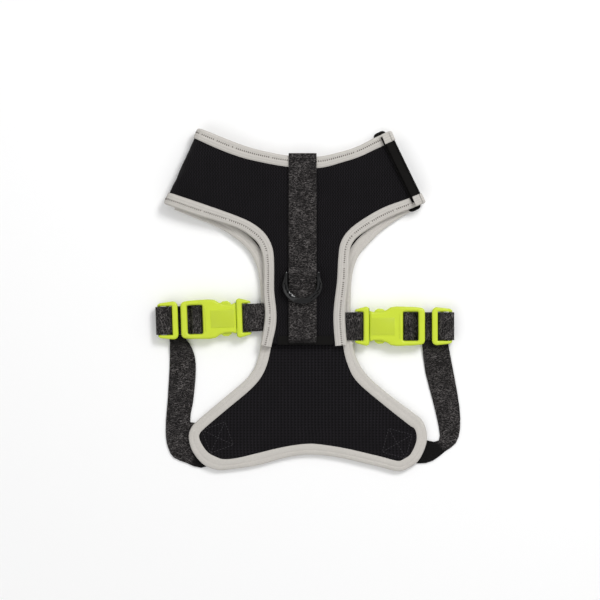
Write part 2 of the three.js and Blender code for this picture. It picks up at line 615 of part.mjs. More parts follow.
function addSideStrap(side) {
  const { innerEnd, turn, sliderGap } = SIDES[side];
  const group = new THREE.Group();
  group.rotation.z = THREE.MathUtils.degToRad(turn);
  group.position.set(...innerEnd, BUCKLE_BOTTOM);
  vest.add(group);
  const sliderStart = BUCKLE_LENGTH + sliderGap;
  addPiece(side + "_stub_webbing", stubWebbing(), "webbing", group);
  addPiece(side + "_buckle_male_base", maleBase(), "limePlastic", group);
  addPiece(side + "_buckle_female", female(), "limePlastic", group);
  addPiece(side + "_slider", slider(sliderStart), "limePlastic", group);
  addPiece(side + "_loop_webbing", loopWebbing(sliderStart), "webbing", group);
  addPiece(side + "_prong_a", prong(), "limePlastic", group);
  addPiece(side + "_prong_b", prong().mirror([0, 1, 0]), "limePlastic", group);
  addPiece(side + "_belly_strap", prism(smooth(BELLY_STRAPS[side]), 0, WEBBING_THICKNESS), "webbing");
}

addBackPanel();
addBackHem();
addChestPanel();
addNeckClosure();
addSpine();
addSideStrap("left");
addSideStrap("right");

export default vest;
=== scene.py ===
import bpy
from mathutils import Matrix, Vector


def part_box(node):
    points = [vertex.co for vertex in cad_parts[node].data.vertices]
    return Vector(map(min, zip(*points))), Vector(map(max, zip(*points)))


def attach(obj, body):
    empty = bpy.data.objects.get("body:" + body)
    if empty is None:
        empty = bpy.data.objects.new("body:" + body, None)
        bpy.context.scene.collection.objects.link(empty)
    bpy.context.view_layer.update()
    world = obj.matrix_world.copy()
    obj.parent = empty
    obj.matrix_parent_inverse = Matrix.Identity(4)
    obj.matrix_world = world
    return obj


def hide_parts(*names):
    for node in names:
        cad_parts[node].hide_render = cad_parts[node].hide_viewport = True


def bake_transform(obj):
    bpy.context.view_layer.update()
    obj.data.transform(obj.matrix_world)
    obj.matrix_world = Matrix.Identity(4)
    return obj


bl_info = {
    "name": "Dog Harness Vest",
    "version": (1, 0, 0),
    "blender": (4, 5, 0),
    "location": "3D View > Sidebar > Harness",
    "description": "Builds the fabric, webbing, buckles and studio of a small mesh harness vest",
    "category": "Object",
}

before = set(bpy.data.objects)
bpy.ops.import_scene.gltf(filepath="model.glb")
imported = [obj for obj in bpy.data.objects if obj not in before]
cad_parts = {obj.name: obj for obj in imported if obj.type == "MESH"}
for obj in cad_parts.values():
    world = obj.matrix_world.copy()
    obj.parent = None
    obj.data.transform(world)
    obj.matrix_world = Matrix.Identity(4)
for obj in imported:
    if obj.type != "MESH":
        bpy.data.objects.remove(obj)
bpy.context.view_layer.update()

import math
import random

import bmesh
import bpy
from bpy.props import FloatProperty, FloatVectorProperty, PointerProperty
from mathutils import Matrix, Vector, kdtree, noise

MM = 0.001  # outlines and thread sizes below are in millimetres, everything built is in metres
UP = Vector((0, 0, 1))

# ---------------------------------------------------------------- layers, read from the frame
BACK_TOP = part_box("back_hem")[1].z / MM
CHEST_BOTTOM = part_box("chest_edge_binding")[0].z / MM
CHEST_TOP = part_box("chest_edge_binding")[1].z / MM
PANEL_DEPTH = CHEST_TOP - CHEST_BOTTOM
STRIP_DEPTH = (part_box("flap_upper_binding")[1].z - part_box("flap_upper_binding")[0].z) / MM
FLAP_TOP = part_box("flap_upper_binding")[1].z / MM
LEFT_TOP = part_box("left_armhole_binding")[1].z / MM
HEM_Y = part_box("back_hem")[0].y / MM
SPINE_X = (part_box("spine_strap")[0].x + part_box("spine_strap")[1].x) / 2 / MM

# ---------------------------------------------------------------- fold lines of the neck loop
LEFT_FOLD = {"outward": Vector((-0.91, 0.4146)).normalized(), "distance": 126.5}
RIGHT_FOLD = {"outward": Vector((0.9, 0.4359)).normalized(), "distance": 108.9}
RISE_START = 60.0
LEFT_SEAM = 117.8
RIGHT_ARM_END = 105.1
CHEST_LEFT_END = 117.5
CHEST_RIGHT_END = 104.2
FLAP_SPAN = (101.1, 106.4)
STRIP_START = 106.7
STRIP_END = 104.5
STRIP_TOP_RADIUS = 1.9
STRIP_LOWER_RADIUS = 3.0

# ---------------------------------------------------------------- edges of the panels, clockwise
NECK_EDGE = [
    (-112, 139.3), (-81.2, 126.7), (-51.7, 115), (-35.7, 110.2), (-14.7, 106.2),
    (6.4, 105.4), (23.8, 108.9), (36.5, 113.1), (48.4, 119.1), (57.9, 123.2), (78, 131.6),
    (100, 141.2),
]
NECK_INNER = [
    (-112, 131.6), (-84.6, 119.1), (-67.7, 111.4), (-51.7, 105.4), (-35.7, 101.4), (-14.7, 97.8),
    (6.4, 96.9), (19.5, 99.5), (36.5, 105.4), (49.2, 110.6), (63.9, 117.5), (82, 126),
    (100, 134.5),
]
RIGHT_EDGE = [
    (100, 77.5), (76.7, 67.6), (57.7, 59.6), (39.6, 48.8), (31.8, 40.5),
    (30.1, 30), (29.6, 15), (27.2, -9), (27.6, -22), (28.6, HEM_Y),
]
RIGHT_INNER = [
    (104, 85), (83.4, 77.6), (57.7, 68.9), (40.7, 59.6), (29.7, 51.1),
    (23.8, 42), (22, 29.5), (21.2, 14.2), (18.9, -5), (18.6, -18), (19.8, HEM_Y),
]
LEFT_EDGE = [
    (-35.4, HEM_Y), (-33.1, -22), (-31.9, -10), (-32.9, 5), (-33.1, 28), (-36.5, 40.4),
    (-43.7, 47.6), (-51.7, 52.5), (-65.3, 57.2), (-83.8, 62.8), (-106.5, 70.9), (-126, 78),
]
LEFT_INNER = [
    (-27, HEM_Y), (-23.7, -18.6), (-23.7, -7), (-25.2, 8), (-25.4, 31.5), (-26.9, 40),
    (-31.6, 48.4), (-39.7, 55.6), (-51.7, 61.3), (-63.9, 65.8), (-79.8, 71.3), (-103.1, 79.1),
    (-124, 86),
]
CHEST_EDGE = [
    (98, 76.5), (85, 70.2), (66.2, 59.6), (53.4, 50.2), (43.3, 40), (37.2, 32.6), (33.1, 21.4),
    (31.6, 8), (31.4, -12), (33.4, -33.2), (36.5, -44.9), (44, -56.2), (59.7, -70), (77.7, -83.5),
    (84.1, -88.9), (87.4, -97.5), (87, -107), (81.6, -118.5), (74.1, -124.2), (66, -126.6),
    (50.8, -122.9), (23.9, -116.7), (6, -114.4), (-7.6, -114.9), (-20.9, -117.6), (-38.5, -122.4),
    (-59.7, -125.4), (-68.3, -125.4), (-77.6, -121.4), (-85.3, -112.2), (-88.3, -102), (-86.6, -94.6),
    (-81, -88.4), (-64, -74), (-47, -59.6), (-39.4, -49.4), (-35.5, -35.6), (-34.2, -18),
    (-35, 4), (-37, 21), (-41, 31.5), (-46.8, 39.6), (-55.7, 46.8), (-67.7, 54), (-83.8, 60.5),
    (-104, 68.6), (-124, 76.5),
]
CHEST_INNER = [
    (98, 85), (81, 76), (62.5, 66.5), (49, 56.5), (37.5, 46), (30.3, 36.5), (25.5, 24),
    (23.8, 9), (23.6, -12), (25.7, -33.2), (29.4, -48.5), (36.5, -61), (59.7, -80.7), (76.7, -94.2),
    (80.4, -98.5), (80.1, -106.1), (75.2, -114.4), (65.7, -118.9), (32.9, -111.3), (10.4, -106.8),
    (-3, -106.3), (-20.9, -109.1), (-40, -113.7), (-59.7, -117.7), (-72.4, -113.6), (-77.5, -108),
    (-80.5, -101.2), (-78.6, -95.9), (-55.5, -76.5), (-38.5, -59.6), (-31.7, -47.4), (-27.9, -34.1),
    (-26.5, -16), (-27.3, 4), (-29.6, 21), (-33.8, 34), (-40.5, 44), (-51, 53.5), (-64.5, 61.3),
    (-80.5, 68.4), (-101, 76.6), (-121, 84.5),
]
CHEST_NECK_DROP = 1.6

# ---------------------------------------------------------------- details of the straps and buckles
RING_WIRE = 3.8 * MM
WINDOW_GAP = 2.7 * MM
WINDOW_FOLD = 3.2 * MM
# past these fold lines the belly straps are painted dark: painted shade, where their plain back also shows
BELLY_FOLDS = {  # a place on each fold line, and the way towards the chest
    "left": ((-85, -117), (0.82, -0.57)),
    "right": ((99.4, -110), (-0.79, -0.61)),
}
BUCKLE_ENDS = {"left": ((-42.23, -13.1), 182), "right": ((34.3, -19.4), 0)}
PLATE = (11.9, 29.5, 6.5)  # where the blank plate starts and ends along the buckle, and its half width
RIDGE = (32.4, 33.6, 9.2)
PLATE_RISE = 0.45 * MM
CROSS_BOXES = ((-66.8, -101.5, 20), (65.6, -105.9, -15))
CROSS_HALF = 9.0

# ---------------------------------------------------------------- sewing and cutting, in millimetres
STITCHED_AT = 0.43  # how far in on the tape its stitches run, as a share of the tape's width
WORN_AWAY = 0.06  # the share of the stitches that has sunk into the tape
SEWN_PITCH = 2.2  # from one stitch to the next in the rows on webbing and mesh
SEWN_EDGE = 8.8  # how far in from a ply's edge the tape holds it down
WEBBING_CELL = 4  # cells that the webbing and tapes are cut in, so that they can bend
LOOP_CELL = 3  # finer cells, for what goes round a bar
FOLD_ANGLE = 50  # edges sharper than this many degrees are a fabric's own edges
CLOTH_STEPS = 20  # frames that the plies' cloth simulation runs


# ---------------------------------------------------------------- sizes and colours a user may change
def hex_colour(text):
    """An sRGB hex colour as the linear colour that a shader takes."""
    parts = [int(text[i:i + 2], 16) / 255 for i in (1, 3, 5)]
    return tuple(p / 12.92 if p <= 0.04045 else ((p + 0.055) / 1.055) ** 2.4 for p in parts)


def length(name, description, millimetres, top=50):
    return FloatProperty(
        name=name, description=description, default=millimetres * MM, min=0, max=top * MM,
        unit="LENGTH", precision=5,
    )


def colour(name, description, text):
    return FloatVectorProperty(
        name=name, description=description, default=hex_colour(text), min=0, max=1, size=3,
        subtype="COLOR",
    )


class HarnessSizes(bpy.types.PropertyGroup):
    """Sizes of the fabric, thread and moulded edges."""

    binding_wall: length("Binding wall", "Thickness of the folded binding tape", 0.5)
    binding_crown: length("Binding crown", "How far the tape swells over the edge it binds", 0.18)
    stitch_pitch: length("Stitch pitch", "Distance between two stitches on a tape", 1.5)
    stitch_length: length("Stitch length", "Reach of one stitch across the tape", 2.0)
    stitch_width: length("Stitch width", "Thickness of the thread", 0.66)
    panel_grid: length("Panel grid", "Cell of the mesh panels before their simulation", 3.6)
    panel_swell: length("Panel swell", "Furthest that a mesh panel swells", 0.75)
    ply: length("Ply", "Thickness of one ply of mesh", 0.75)
    plastic_edge: length("Plastic edge", "Rounding of the smaller moulded edges", 0.45)
    plastic_rim: length("Plastic rim", "Rounding of the upper and lower rims of the mouldings", 1.3)
    corner: length("Corner", "Rounding of the moulded frames' corners", 1.3)
    ring_edge: length("Ring edge", "Rounding of the leash ring's wire", 1.5)
    webbing_edge: length("Webbing edge", "Rounding of the webbing's selvedge", 0.35)


class HarnessColours(bpy.types.PropertyGroup):
    """Colours of the fabric, thread, webbing and plastic."""

    mesh: colour("Mesh", "Yarn of the outer mesh", "#171518")
    lining: colour("Lining", "Yarn of the lining mesh", "#161417")
    binding: colour("Binding", "Folded edge tape", "#c9c5bf")
    thread: colour("Thread", "Needle thread on the tape", "#5a534d")
    dark_thread: colour("Dark thread", "Sewing thread on the black fabric", "#333134")
    webbing: colour("Webbing", "Ground of the harness webbing", "#171515")
    fleck: colour("Fleck", "Grey yarn flecks in the webbing", "#6a6665")
    plastic: colour("Plastic", "Buckles and sliders", "#c9db36")
    ring: colour("Ring", "Enamel of the leash ring", "#060607")
    closure: colour("Closure", "Closure strip, hem and tapes", "#121110")
    floor: colour("Floor", "Studio floor", "#fbfbfb")


# ---------------------------------------------------------------- curves in the plan
def spline(points, per_span):
    """A Catmull-Rom curve through the points, with per_span steps between two of them."""
    places = [Vector(p) for p in points]
    last = len(places) - 1
    found = []
    for i in range(last * per_span + 1):
        k = min(i // per_span, last - 1)
        t = i / per_span - k
        before = places[max(k - 1, 0)]
        start, end = places[k], places[k + 1]
        after = places[min(k + 2, last)]
        leave, arrive = (end - before) / 2, (after - start) / 2
        cubic = (2 * start - 2 * end + leave + arrive) * t ** 3
        square = (3 * end - 3 * start - 2 * leave - arrive) * t ** 2
        found.append(cubic + square + leave * t + start)
    return found


def inset(line, distance):
    """The line moved to the right of the way it runs."""
    moved = []
    for i, p in enumerate(line):
        way = (line[min(i + 1, len(line) - 1)] - line[max(i - 1, 0)]).normalized()
        moved.append(p + distance * Vector((way.y, -way.x)))
    return moved


def even(line, step):
    """The line with its points about one step apart."""
    reach = [0.0]
    for a, b in zip(line, line[1:]):
        reach.append(reach[-1] + (b - a).length)
    count = max(2, round(reach[-1] / step))
    found, k = [], 0
    for i in range(count + 1):
        wanted = reach[-1] * i / count
        while k < len(reach) - 2 and reach[k + 1] < wanted:
            k += 1
        share = (wanted - reach[k]) / max(reach[k + 1] - reach[k], 1e-9)
        found.append(line[k].lerp(line[k + 1], min(share, 1)))
    return found


def crossing(line, fold, s):
    """Where the line lies s outward of the middle of the vest, across the fold."""
    out = fold["outward"]
    for a, b in zip(line, line[1:]):
        if (a.dot(out) - s) * (b.dot(out) - s) <= 0 and a.dot(out) != b.dot(out):
            return a.lerp(b, (s - a.dot(out)) / (b.dot(out) - a.dot(out)))
    raise RuntimeError(f"the edge doesn't reach {s} mm across the fold")


def smoothstep(t):
    t = min(max(t, 0), 1)
    return t * t * (3 - 2 * t)


# ---------------------------------------------------------------- faces of the folded edges
def arc(centre, radius, start, end, steps):
    """Points and normals of an arc in the plane of [distance outward, height]."""
    found = []
    for i in range(steps + 1):
        angle = math.radians(start + (end - start) * i / steps)
        way = Vector((math.cos(angle), math.sin(angle)))
        found.append((Vector(centre) + radius * way, way))
    return found


def left_rise(s):
    """Height of the back panel's top on its way to the left fold."""
    radius = (LEFT_TOP - CHEST_BOTTOM) / 2
    crest = LEFT_FOLD["distance"] - radius
    return BACK_TOP + (LEFT_TOP - BACK_TOP) * smoothstep((s - RISE_START) / (crest - RISE_START))


def left_turn():
    """The half turn at the left fold, from its crest round to the seam below."""
    radius = (LEFT_TOP - CHEST_BOTTOM) / 2
    centre = (LEFT_FOLD["distance"] - radius, LEFT_TOP - radius)
    seam = (Vector((LEFT_SEAM, CHEST_BOTTOM)), Vector((0, -1)))
    return arc(centre, radius, 90, -90, 14) + [seam]


def strip_turn():
    """The closure strip's outer face, from the flap's crest round to the seam below."""
    distance = RIGHT_FOLD["distance"]
    upper = (distance - STRIP_TOP_RADIUS, FLAP_TOP - STRIP_TOP_RADIUS)
    lower = (distance - STRIP_LOWER_RADIUS, CHEST_BOTTOM + STRIP_LOWER_RADIUS)
    start = (Vector((STRIP_START, FLAP_TOP)), Vector((0, 1)))
    seam = (Vector((STRIP_END, CHEST_BOTTOM)), Vector((0, -1)))
    upper_turn = arc(upper, STRIP_TOP_RADIUS, 90, 0, 6)
    side = [(upper_turn[-1][0].lerp(Vector((distance, lower[1])), t), Vector((1, 0))) for t in (0.33, 0.67)]
    return [start] + upper_turn + side + arc(lower, STRIP_LOWER_RADIUS, 0, -90, 7) + [seam]


def stations_round(edge, fold, profile):
    """Places and normals along an edge where it goes round a fold."""
    out = fold["outward"]
    found = []
    for (s, z), (normal_out, normal_up) in profile:
        flat = crossing(edge, fold, s)
        normal = Vector((normal_out * out.x, normal_out * out.y, normal_up))
        found.append((Vector((flat.x, flat.y, z)), normal))
    return found


def stations_on_top(edge, left_end=None, right_end=None):
    """Places and normals along an edge where it lies on top, cut off at the folds."""
    kept = []
    for p in edge:
        inside_left = left_end is None or p.dot(LEFT_FOLD["outward"]) < left_end - 0.3
        inside_right = right_end is None or p.dot(RIGHT_FOLD["outward"]) < right_end - 0.3
        if inside_left and inside_right:
            kept.append(p)
    if right_end is not None:
        end = crossing(edge, RIGHT_FOLD, right_end)
        at_start = (kept[0] - end).length < (kept[-1] - end).length
        kept = [end] + kept if at_start else kept + [end]
    if left_end is not None and left_end < LEFT_FOLD["distance"] - 7:
        end = crossing(edge, LEFT_FOLD, left_end)
        at_start = (kept[0] - end).length < (kept[-1] - end).length
        kept = [end] + kept if at_start else kept + [end]
    return kept


# ---------------------------------------------------------------- mesh tools
def finish_mesh(bm, name, smooth=True):
    """A piece from a finished bmesh, its doubles merged and its faces pointing out."""
    bmesh.ops.remove_doubles(bm, verts=bm.verts, dist=1e-6)
    bmesh.ops.recalc_face_normals(bm, faces=bm.faces)
    for face in bm.faces:
        face.smooth = smooth
    mesh = bpy.data.meshes.new(name)
    bm.to_mesh(mesh)
    bm.free()
    piece = bpy.data.objects.new(name, mesh)
    bpy.context.scene.collection.objects.link(piece)
    return piece


def merged_copy(node):
    """A bmesh of a CAD node with shared corners merged and flat faces made whole."""
    bm = bmesh.new()
    bm.from_mesh(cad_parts[node].data)
    bmesh.ops.remove_doubles(bm, verts=bm.verts, dist=2e-6)
    bmesh.ops.dissolve_limit(
        bm, angle_limit=math.radians(1), verts=bm.verts, edges=bm.edges, delimit=set()
    )
    return bm


def sharp_edges(bm, degrees):
    limit = math.radians(degrees)
    return [e for e in bm.edges if len(e.link_faces) == 2 and e.calc_face_angle(0) > limit]


def upright_edges(bm, top):
    """The sharp upright edges that reach the top face: the corners of frames and windows."""
    found = []
    for edge in sharp_edges(bm, 50):
        low, high = sorted(v.co.z for v in edge.verts)
        if high > top - 0.6 * MM and high - low > 0.95 * edge.calc_length() > 2 * MM:
            found.append(edge)
    return found


def roll_rims(bm, low, high, radius):
    """Rounds the upper and the lower face of a moulding off into its sides."""
    cut_grid(bm, 0.8 * MM)
    for way, level in ((1, high.z), (-1, low.z)):
        faces = {
            face for face in bm.faces
            if face.normal.z * way > 0.99 and abs(face.calc_center_median().z - level) < 0.1 * MM
        }
        rim = [
            [vert.co.to_2d() for vert in edge.verts] for face in faces for edge in face.edges
            if any(other not in faces for other in edge.link_faces)
        ]
        for vert in {vert for face in faces for vert in face.verts}:
            flat = vert.co.to_2d()
            left = max(radius - min(from_segment(flat, a, b) for a, b in rim), 0)
            vert.co.z -= way * (radius - math.sqrt(radius ** 2 - left ** 2))


def round_edges(bm, edges, radius, segments=3):
    bmesh.ops.bevel(
        bm, geom=edges, offset=radius, offset_type="OFFSET", segments=segments, profile=0.5,
        affect="EDGES", material=-1, clamp_overlap=True,
    )


def cut_grid(bm, cell, axes="xy"):
    """Cuts the faces along a grid, so that they can swell and crease."""
    for axis in axes:
        k = "xyz".index(axis)
        values = [v.co[k] for v in bm.verts]
        normal = Vector((0, 0, 0))
        normal[k] = 1
        for i in range(math.ceil(min(values) / cell), math.floor(max(values) / cell) + 1):
            geometry = bm.verts[:] + bm.edges[:] + bm.faces[:]
            bmesh.ops.bisect_plane(
                bm, geom=geometry, dist=1e-6, plane_co=normal * (i * cell + 1.3e-5), plane_no=normal
            )


def keep_sharp(piece, degrees=40):
    """Shades the piece smoothly, apart from its real corners."""
    piece.data.set_sharp_from_angle(angle=math.radians(degrees))
    return piece


def place(piece, body, slot, material, *nodes):
    """Gives a piece its material, lets it ride on a body and stand for its CAD nodes. The slot is not used.
    """
    piece.data.materials.clear()
    piece.data.materials.append(material)
    if body:
        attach(piece, body)
    if nodes:
        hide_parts(*nodes)
    return piece


def sweep(bm, rings, uv, reach, around):
    """Draws a closed section along its rings with one extrusion for each step, and closes its ends."""
    count = len(rings[0])
    first = bmesh.ops.create_circle(bm, cap_ends=False, radius=1, segments=count)["verts"]
    loop = list(first)
    for vert, co in zip(loop, rings[0]):
        vert.co = co
    ends = [list(loop)]
    index = {vert: (0, j) for j, vert in enumerate(loop)}
    for i, ring in enumerate(rings[1:], 1):
        edges = {e for v in loop for e in v.link_edges if e.other_vert(v) in loop and len(e.link_faces) < 2}
        old = set(loop)
        made = bmesh.ops.extrude_edge_only(bm, edges=[e for e in edges if all(v in old for v in e.verts)])
        fresh = {g for g in made["geom"] if isinstance(g, bmesh.types.BMVert)}
        following = []
        for vert, co in zip(loop, ring):
            new = next(e.other_vert(vert) for e in vert.link_edges if e.other_vert(vert) in fresh)
            following.append(new)
        for j, (vert, co) in enumerate(zip(following, ring)):
            vert.co = co
            index[vert] = (i, j)
        loop = following
    ends.append(list(loop))
    for face in bm.faces:
        if any(v not in index for v in face.verts):
            continue
        places = [index[v] for v in face.verts]
        wraps = {j for _, j in places} >= {0, count - 1}
        for corner, (i, j) in zip(face.loops, places):
            v = around[count] if wraps and j == 0 else around[j]
            corner[uv].uv = (reach[i], v)
    for end in ends:
        cap = bmesh.ops.contextual_create(bm, geom=end)["faces"]
        for face in cap:
            for corner in face.loops:
                i, j = index[corner.vert]
                corner[uv].uv = (reach[i], around[j])


def tape_section(width, depth, wall, crown):
    """A tape folded round an edge: points of [distance in from the edge, depth under the face]."""
    half = depth / 2
    nose = min(1.5, half)
    top = [
        (width, 0.3), (width - 0.3, 0.02), (width * 0.72, -crown), (width * 0.5, -crown * 0.8),
        (width * 0.43, crown * 0.7), (width * 0.36, -crown * 0.8), (width * 0.22, -crown * 0.7),
    ]
    turn = [
        (nose - nose * math.sin(math.radians(a)), half - half * math.cos(math.radians(a)))
        for a in range(0, 181, 20)
    ]
    bottom = [(width * 0.5, depth + crown * 0.3), (width - 0.3, depth - 0.02), (width, depth - 0.3)]
    inner = [
        (width - 0.1, depth - wall), (nose, depth - wall), (wall, half),
        (nose, wall), (width - 0.1, wall),
    ]
    return top + turn + bottom + inner


def spine_frames(stations):
    """For each station its place, its face's normal and the way in from the edge."""
    found = []
    for i, (co, normal) in enumerate(stations):
        ahead = stations[min(i + 1, len(stations) - 1)][0] - stations[max(i - 1, 0)][0]
        way = ahead.normalized()
        normal = (normal - normal.dot(way) * way).normalized()
        found.append((co, normal, way.cross(normal)))
    return found


def from_segment(p, a, b):
    """How far p lies from the straight line between a and b."""
    share = (p - a).dot(b - a) / max((b - a).length_squared, 1e-12)
    return (p - a.lerp(b, min(max(share, 0), 1))).length


def tape_widths(stations, inner, usual):
    """How wide the tape is at each station: from there to the band's inner line, evened out."""
    found = []
    for co, _ in stations:
        flat = Vector((co.x, co.y))
        near = min(from_segment(flat, a, b) for a, b in zip(inner, inner[1:]))
        found.append(min(max(near, usual - 0.9), usual + 0.9))
    for _ in range(4):
        last = len(found) - 1
        found = [(found[max(i - 1, 0)] + 2 * w + found[min(i + 1, last)]) / 4 for i, w in enumerate(found)]
    return found


# ---------------------------------------------------------------- materials
def add(tree, kind, inputs=(), **settings):
    """Adds a shader node, sets it up and fills or links its inputs."""
    node = tree.nodes.new("ShaderNode" + kind)
    for name, value in settings.items():
        setattr(node, name, value)
    for socket, value in dict(inputs).items():
        if isinstance(value, bpy.types.NodeSocket):
            tree.links.new(value, node.inputs[socket])
        else:
            node.inputs[socket].default_value = value
    return node


def new_material(name, roughness, specular):
    """A material whose roughness and gloss are set, with its node tree and shader."""
    material = bpy.data.materials.new(name)
    material.use_nodes = True
    tree = material.node_tree
    shader = tree.nodes["Principled BSDF"]
    shader.inputs["Roughness"].default_value = roughness
    shader.inputs["Specular IOR Level"].default_value = specular
    return material, tree, shader


def four(rgb, factor=1.0):
    return (*[c * factor for c in rgb], 1)


def object_millimetres(tree):
    """The piece's own coordinates in millimetres."""
    coordinates = add(tree, "TexCoord").outputs["Object"]
    return add(tree, "VectorMath", {0: coordinates, 3: 1 / MM}, operation="SCALE").outputs[0]


def mottling(tree, where, size, detail, roughness=0.5):
    """Soft patches, from 0 to 1. The size gives their width, length and height in millimetres."""
    per_patch = tuple(1 / side for side in size)
    cells = add(tree, "VectorMath", {0: where, 1: per_patch}, operation="MULTIPLY").outputs[0]
    spots = {"Vector": cells, "Scale": 1.0, "Detail": detail, "Roughness": roughness}
    return add(tree, "TexNoise", spots).outputs[0]


def waves(tree, distance, pitch):
    """An even up and down along the distance, from -1 to 1, one wave for each pitch."""
    turn = add(tree, "Math", {0: distance, 1: 2 * math.pi / pitch}, operation="MULTIPLY").outputs[0]
    return add(tree, "Math", {0: turn}, operation="SINE").outputs[0]


def dress(tree, shader, tone, height, depth):
    """Gives the shader its colour, and a relief whose full range stands depth millimetres deep."""
    tree.links.new(tone, shader.inputs["Base Color"])
    bump = add(tree, "Bump", {"Height": height, "Distance": depth * MM, "Strength": 1.0})
    tree.links.new(bump.outputs[0], shader.inputs["Normal"])


def air_mesh(name, rgb, hole_x, hole_y, hole_depth, staggered):
    """Knitted polyester spacer mesh: rows of small holes between soft upright ribs.
    Matt black yarn that drinks the light, with a faint sheen; the holes show as darker dots, which is
    painted shade in the holes, and the furrows between the ribs are painted darker as painted shade."""
    material, tree, shader = new_material(name, 0.95, specular=0.12)
    shader.inputs["Sheen Weight"].default_value = 0.03
    shader.inputs["Sheen Roughness"].default_value = 0.6
    where = object_millimetres(tree)
    x, y, z = (add(tree, "SeparateXYZ", {0: where}).outputs[i] for i in range(3))
    round_fold = add(tree, "Math", {0: x, 1: z}, operation="ADD").outputs[0]
    sheet = add(tree, "CombineXYZ", {0: round_fold, 1: y}).outputs[0]
    per_hole = (1 / hole_x, 1 / hole_y, 1 / 1.0)
    cells = add(tree, "VectorMath", {0: sheet, 1: per_hole}, operation="MULTIPLY").outputs[0]
    shifted = add(tree, "VectorMath", {0: cells, 1: (0.5, 0.5, 0)}, operation="ADD").outputs[0]
    dots = []
    for lattice in (cells, shifted if staggered else cells):
        spots = {"Vector": lattice, "Scale": 1.0, "Randomness": 0.06}
        voronoi = add(tree, "TexVoronoi", spots, voronoi_dimensions="2D")
        dots.append(voronoi.outputs["Distance"])
    near = add(tree, "Math", {0: dots[0], 1: dots[1]}, operation="MINIMUM").outputs[0]
    edge_of_hole = {0: near, 1: 0.16, 2: 0.34}
    yarn = add(tree, "MapRange", edge_of_hole, interpolation_type="SMOOTHSTEP").outputs[0]
    ribs = add(tree, "MapRange", {0: waves(tree, round_fold, hole_x), 1: -1, 2: 1}).outputs[0]
    cloudy = mottling(tree, where, (14, 14, 14), 3.0)
    fuzz = mottling(tree, where, (0.9, 0.9, 0.9), 2.0)
    tone_and_shade = add(tree, "Mix", {0: cloudy, 6: four(rgb, 0.8), 7: four(rgb, 1.9)}, data_type="RGBA").outputs[2]
    # painted shade: the furrows between the ribs are painted darker
    ribbed = add(tree, "Mix", {0: ribs, 6: four(rgb, 0.62), 7: tone_and_shade}, data_type="RGBA").outputs[2]
    # painted shade: the holes are painted nearly black
    knit_with_painted_shade = add(tree, "Mix", {0: yarn, 6: four(rgb, 0.1), 7: ribbed}, data_type="RGBA").outputs[2]
    knit = add(tree, "Math", {0: yarn, 1: hole_depth}, operation="MULTIPLY").outputs[0]
    with_ribs = add(tree, "Math", {0: ribs, 1: 0.35, 2: knit}, operation="MULTIPLY_ADD").outputs[0]
    height = add(tree, "Math", {0: fuzz, 1: 0.3, 2: with_ribs}, operation="MULTIPLY_ADD").outputs[0]
    dress(tree, shader, knit_with_painted_shade, height, 0.22)
    return material


def ribbed_tape(name, rgb, ribs_shown):
    """Polyester grosgrain binding: warm light grey, matt, with fine ribs along it and a soft cross weave;
    the grooves between the ribs are painted darker, which is painted shade.
    Such ribs are about 0.5 mm apart; they are drawn 2 mm apart so that they show."""
    material, tree, shader = new_material(name, 0.88, specular=0.2)
    shader.inputs["Sheen Weight"].default_value = 0.12
    shader.inputs["Sheen Roughness"].default_value = 0.5
    uv = add(tree, "UVMap", uv_map="tape").outputs[0]
    along, across = (add(tree, "SeparateXYZ", {0: uv}).outputs[i] for i in (0, 1))
    ribs = add(tree, "MapRange", {0: waves(tree, across, 2.0 * MM), 1: -1, 2: 1}).outputs[0]
    weave = add(tree, "MapRange", {0: waves(tree, along, 1.1 * MM), 1: -1, 2: 1}).outputs[0]
    where = object_millimetres(tree)
    cloudy = mottling(tree, where, (9, 9, 9), 4.0)
    slub = mottling(tree, where, (1.3, 1.3, 1.3), 3.0)
    tone = add(tree, "Mix", {0: cloudy, 6: four(rgb, 0.88), 7: four(rgb, 1.08)}, data_type="RGBA").outputs[2]
    grain = add(tree, "MapRange", {0: slub, 1: 0.3, 2: 0.7}).outputs[0]
    speckled = add(tree, "Mix", {0: grain, 6: four(rgb, 0.9), 7: tone}, data_type="RGBA").outputs[2]
    # painted shade: the grooves between the ribs are painted darker
    shade = add(tree, "Math", {0: ribs, 1: ribs_shown}, operation="MULTIPLY").outputs[0]
    ribbed = add(tree, "Mix", {0: shade, 6: speckled, 7: four(rgb, 0.74)}, data_type="RGBA").outputs[2]
    sunk = add(tree, "Math", {0: ribs, 1: -ribs_shown * 1.6}, operation="MULTIPLY").outputs[0]
    woven = add(tree, "Math", {0: weave, 1: 0.25, 2: sunk}, operation="MULTIPLY_ADD").outputs[0]
    height = add(tree, "Math", {0: slub, 1: 0.5, 2: woven}, operation="MULTIPLY_ADD").outputs[0]
    dress(tree, shader, ribbed, height, 0.12)
    return material


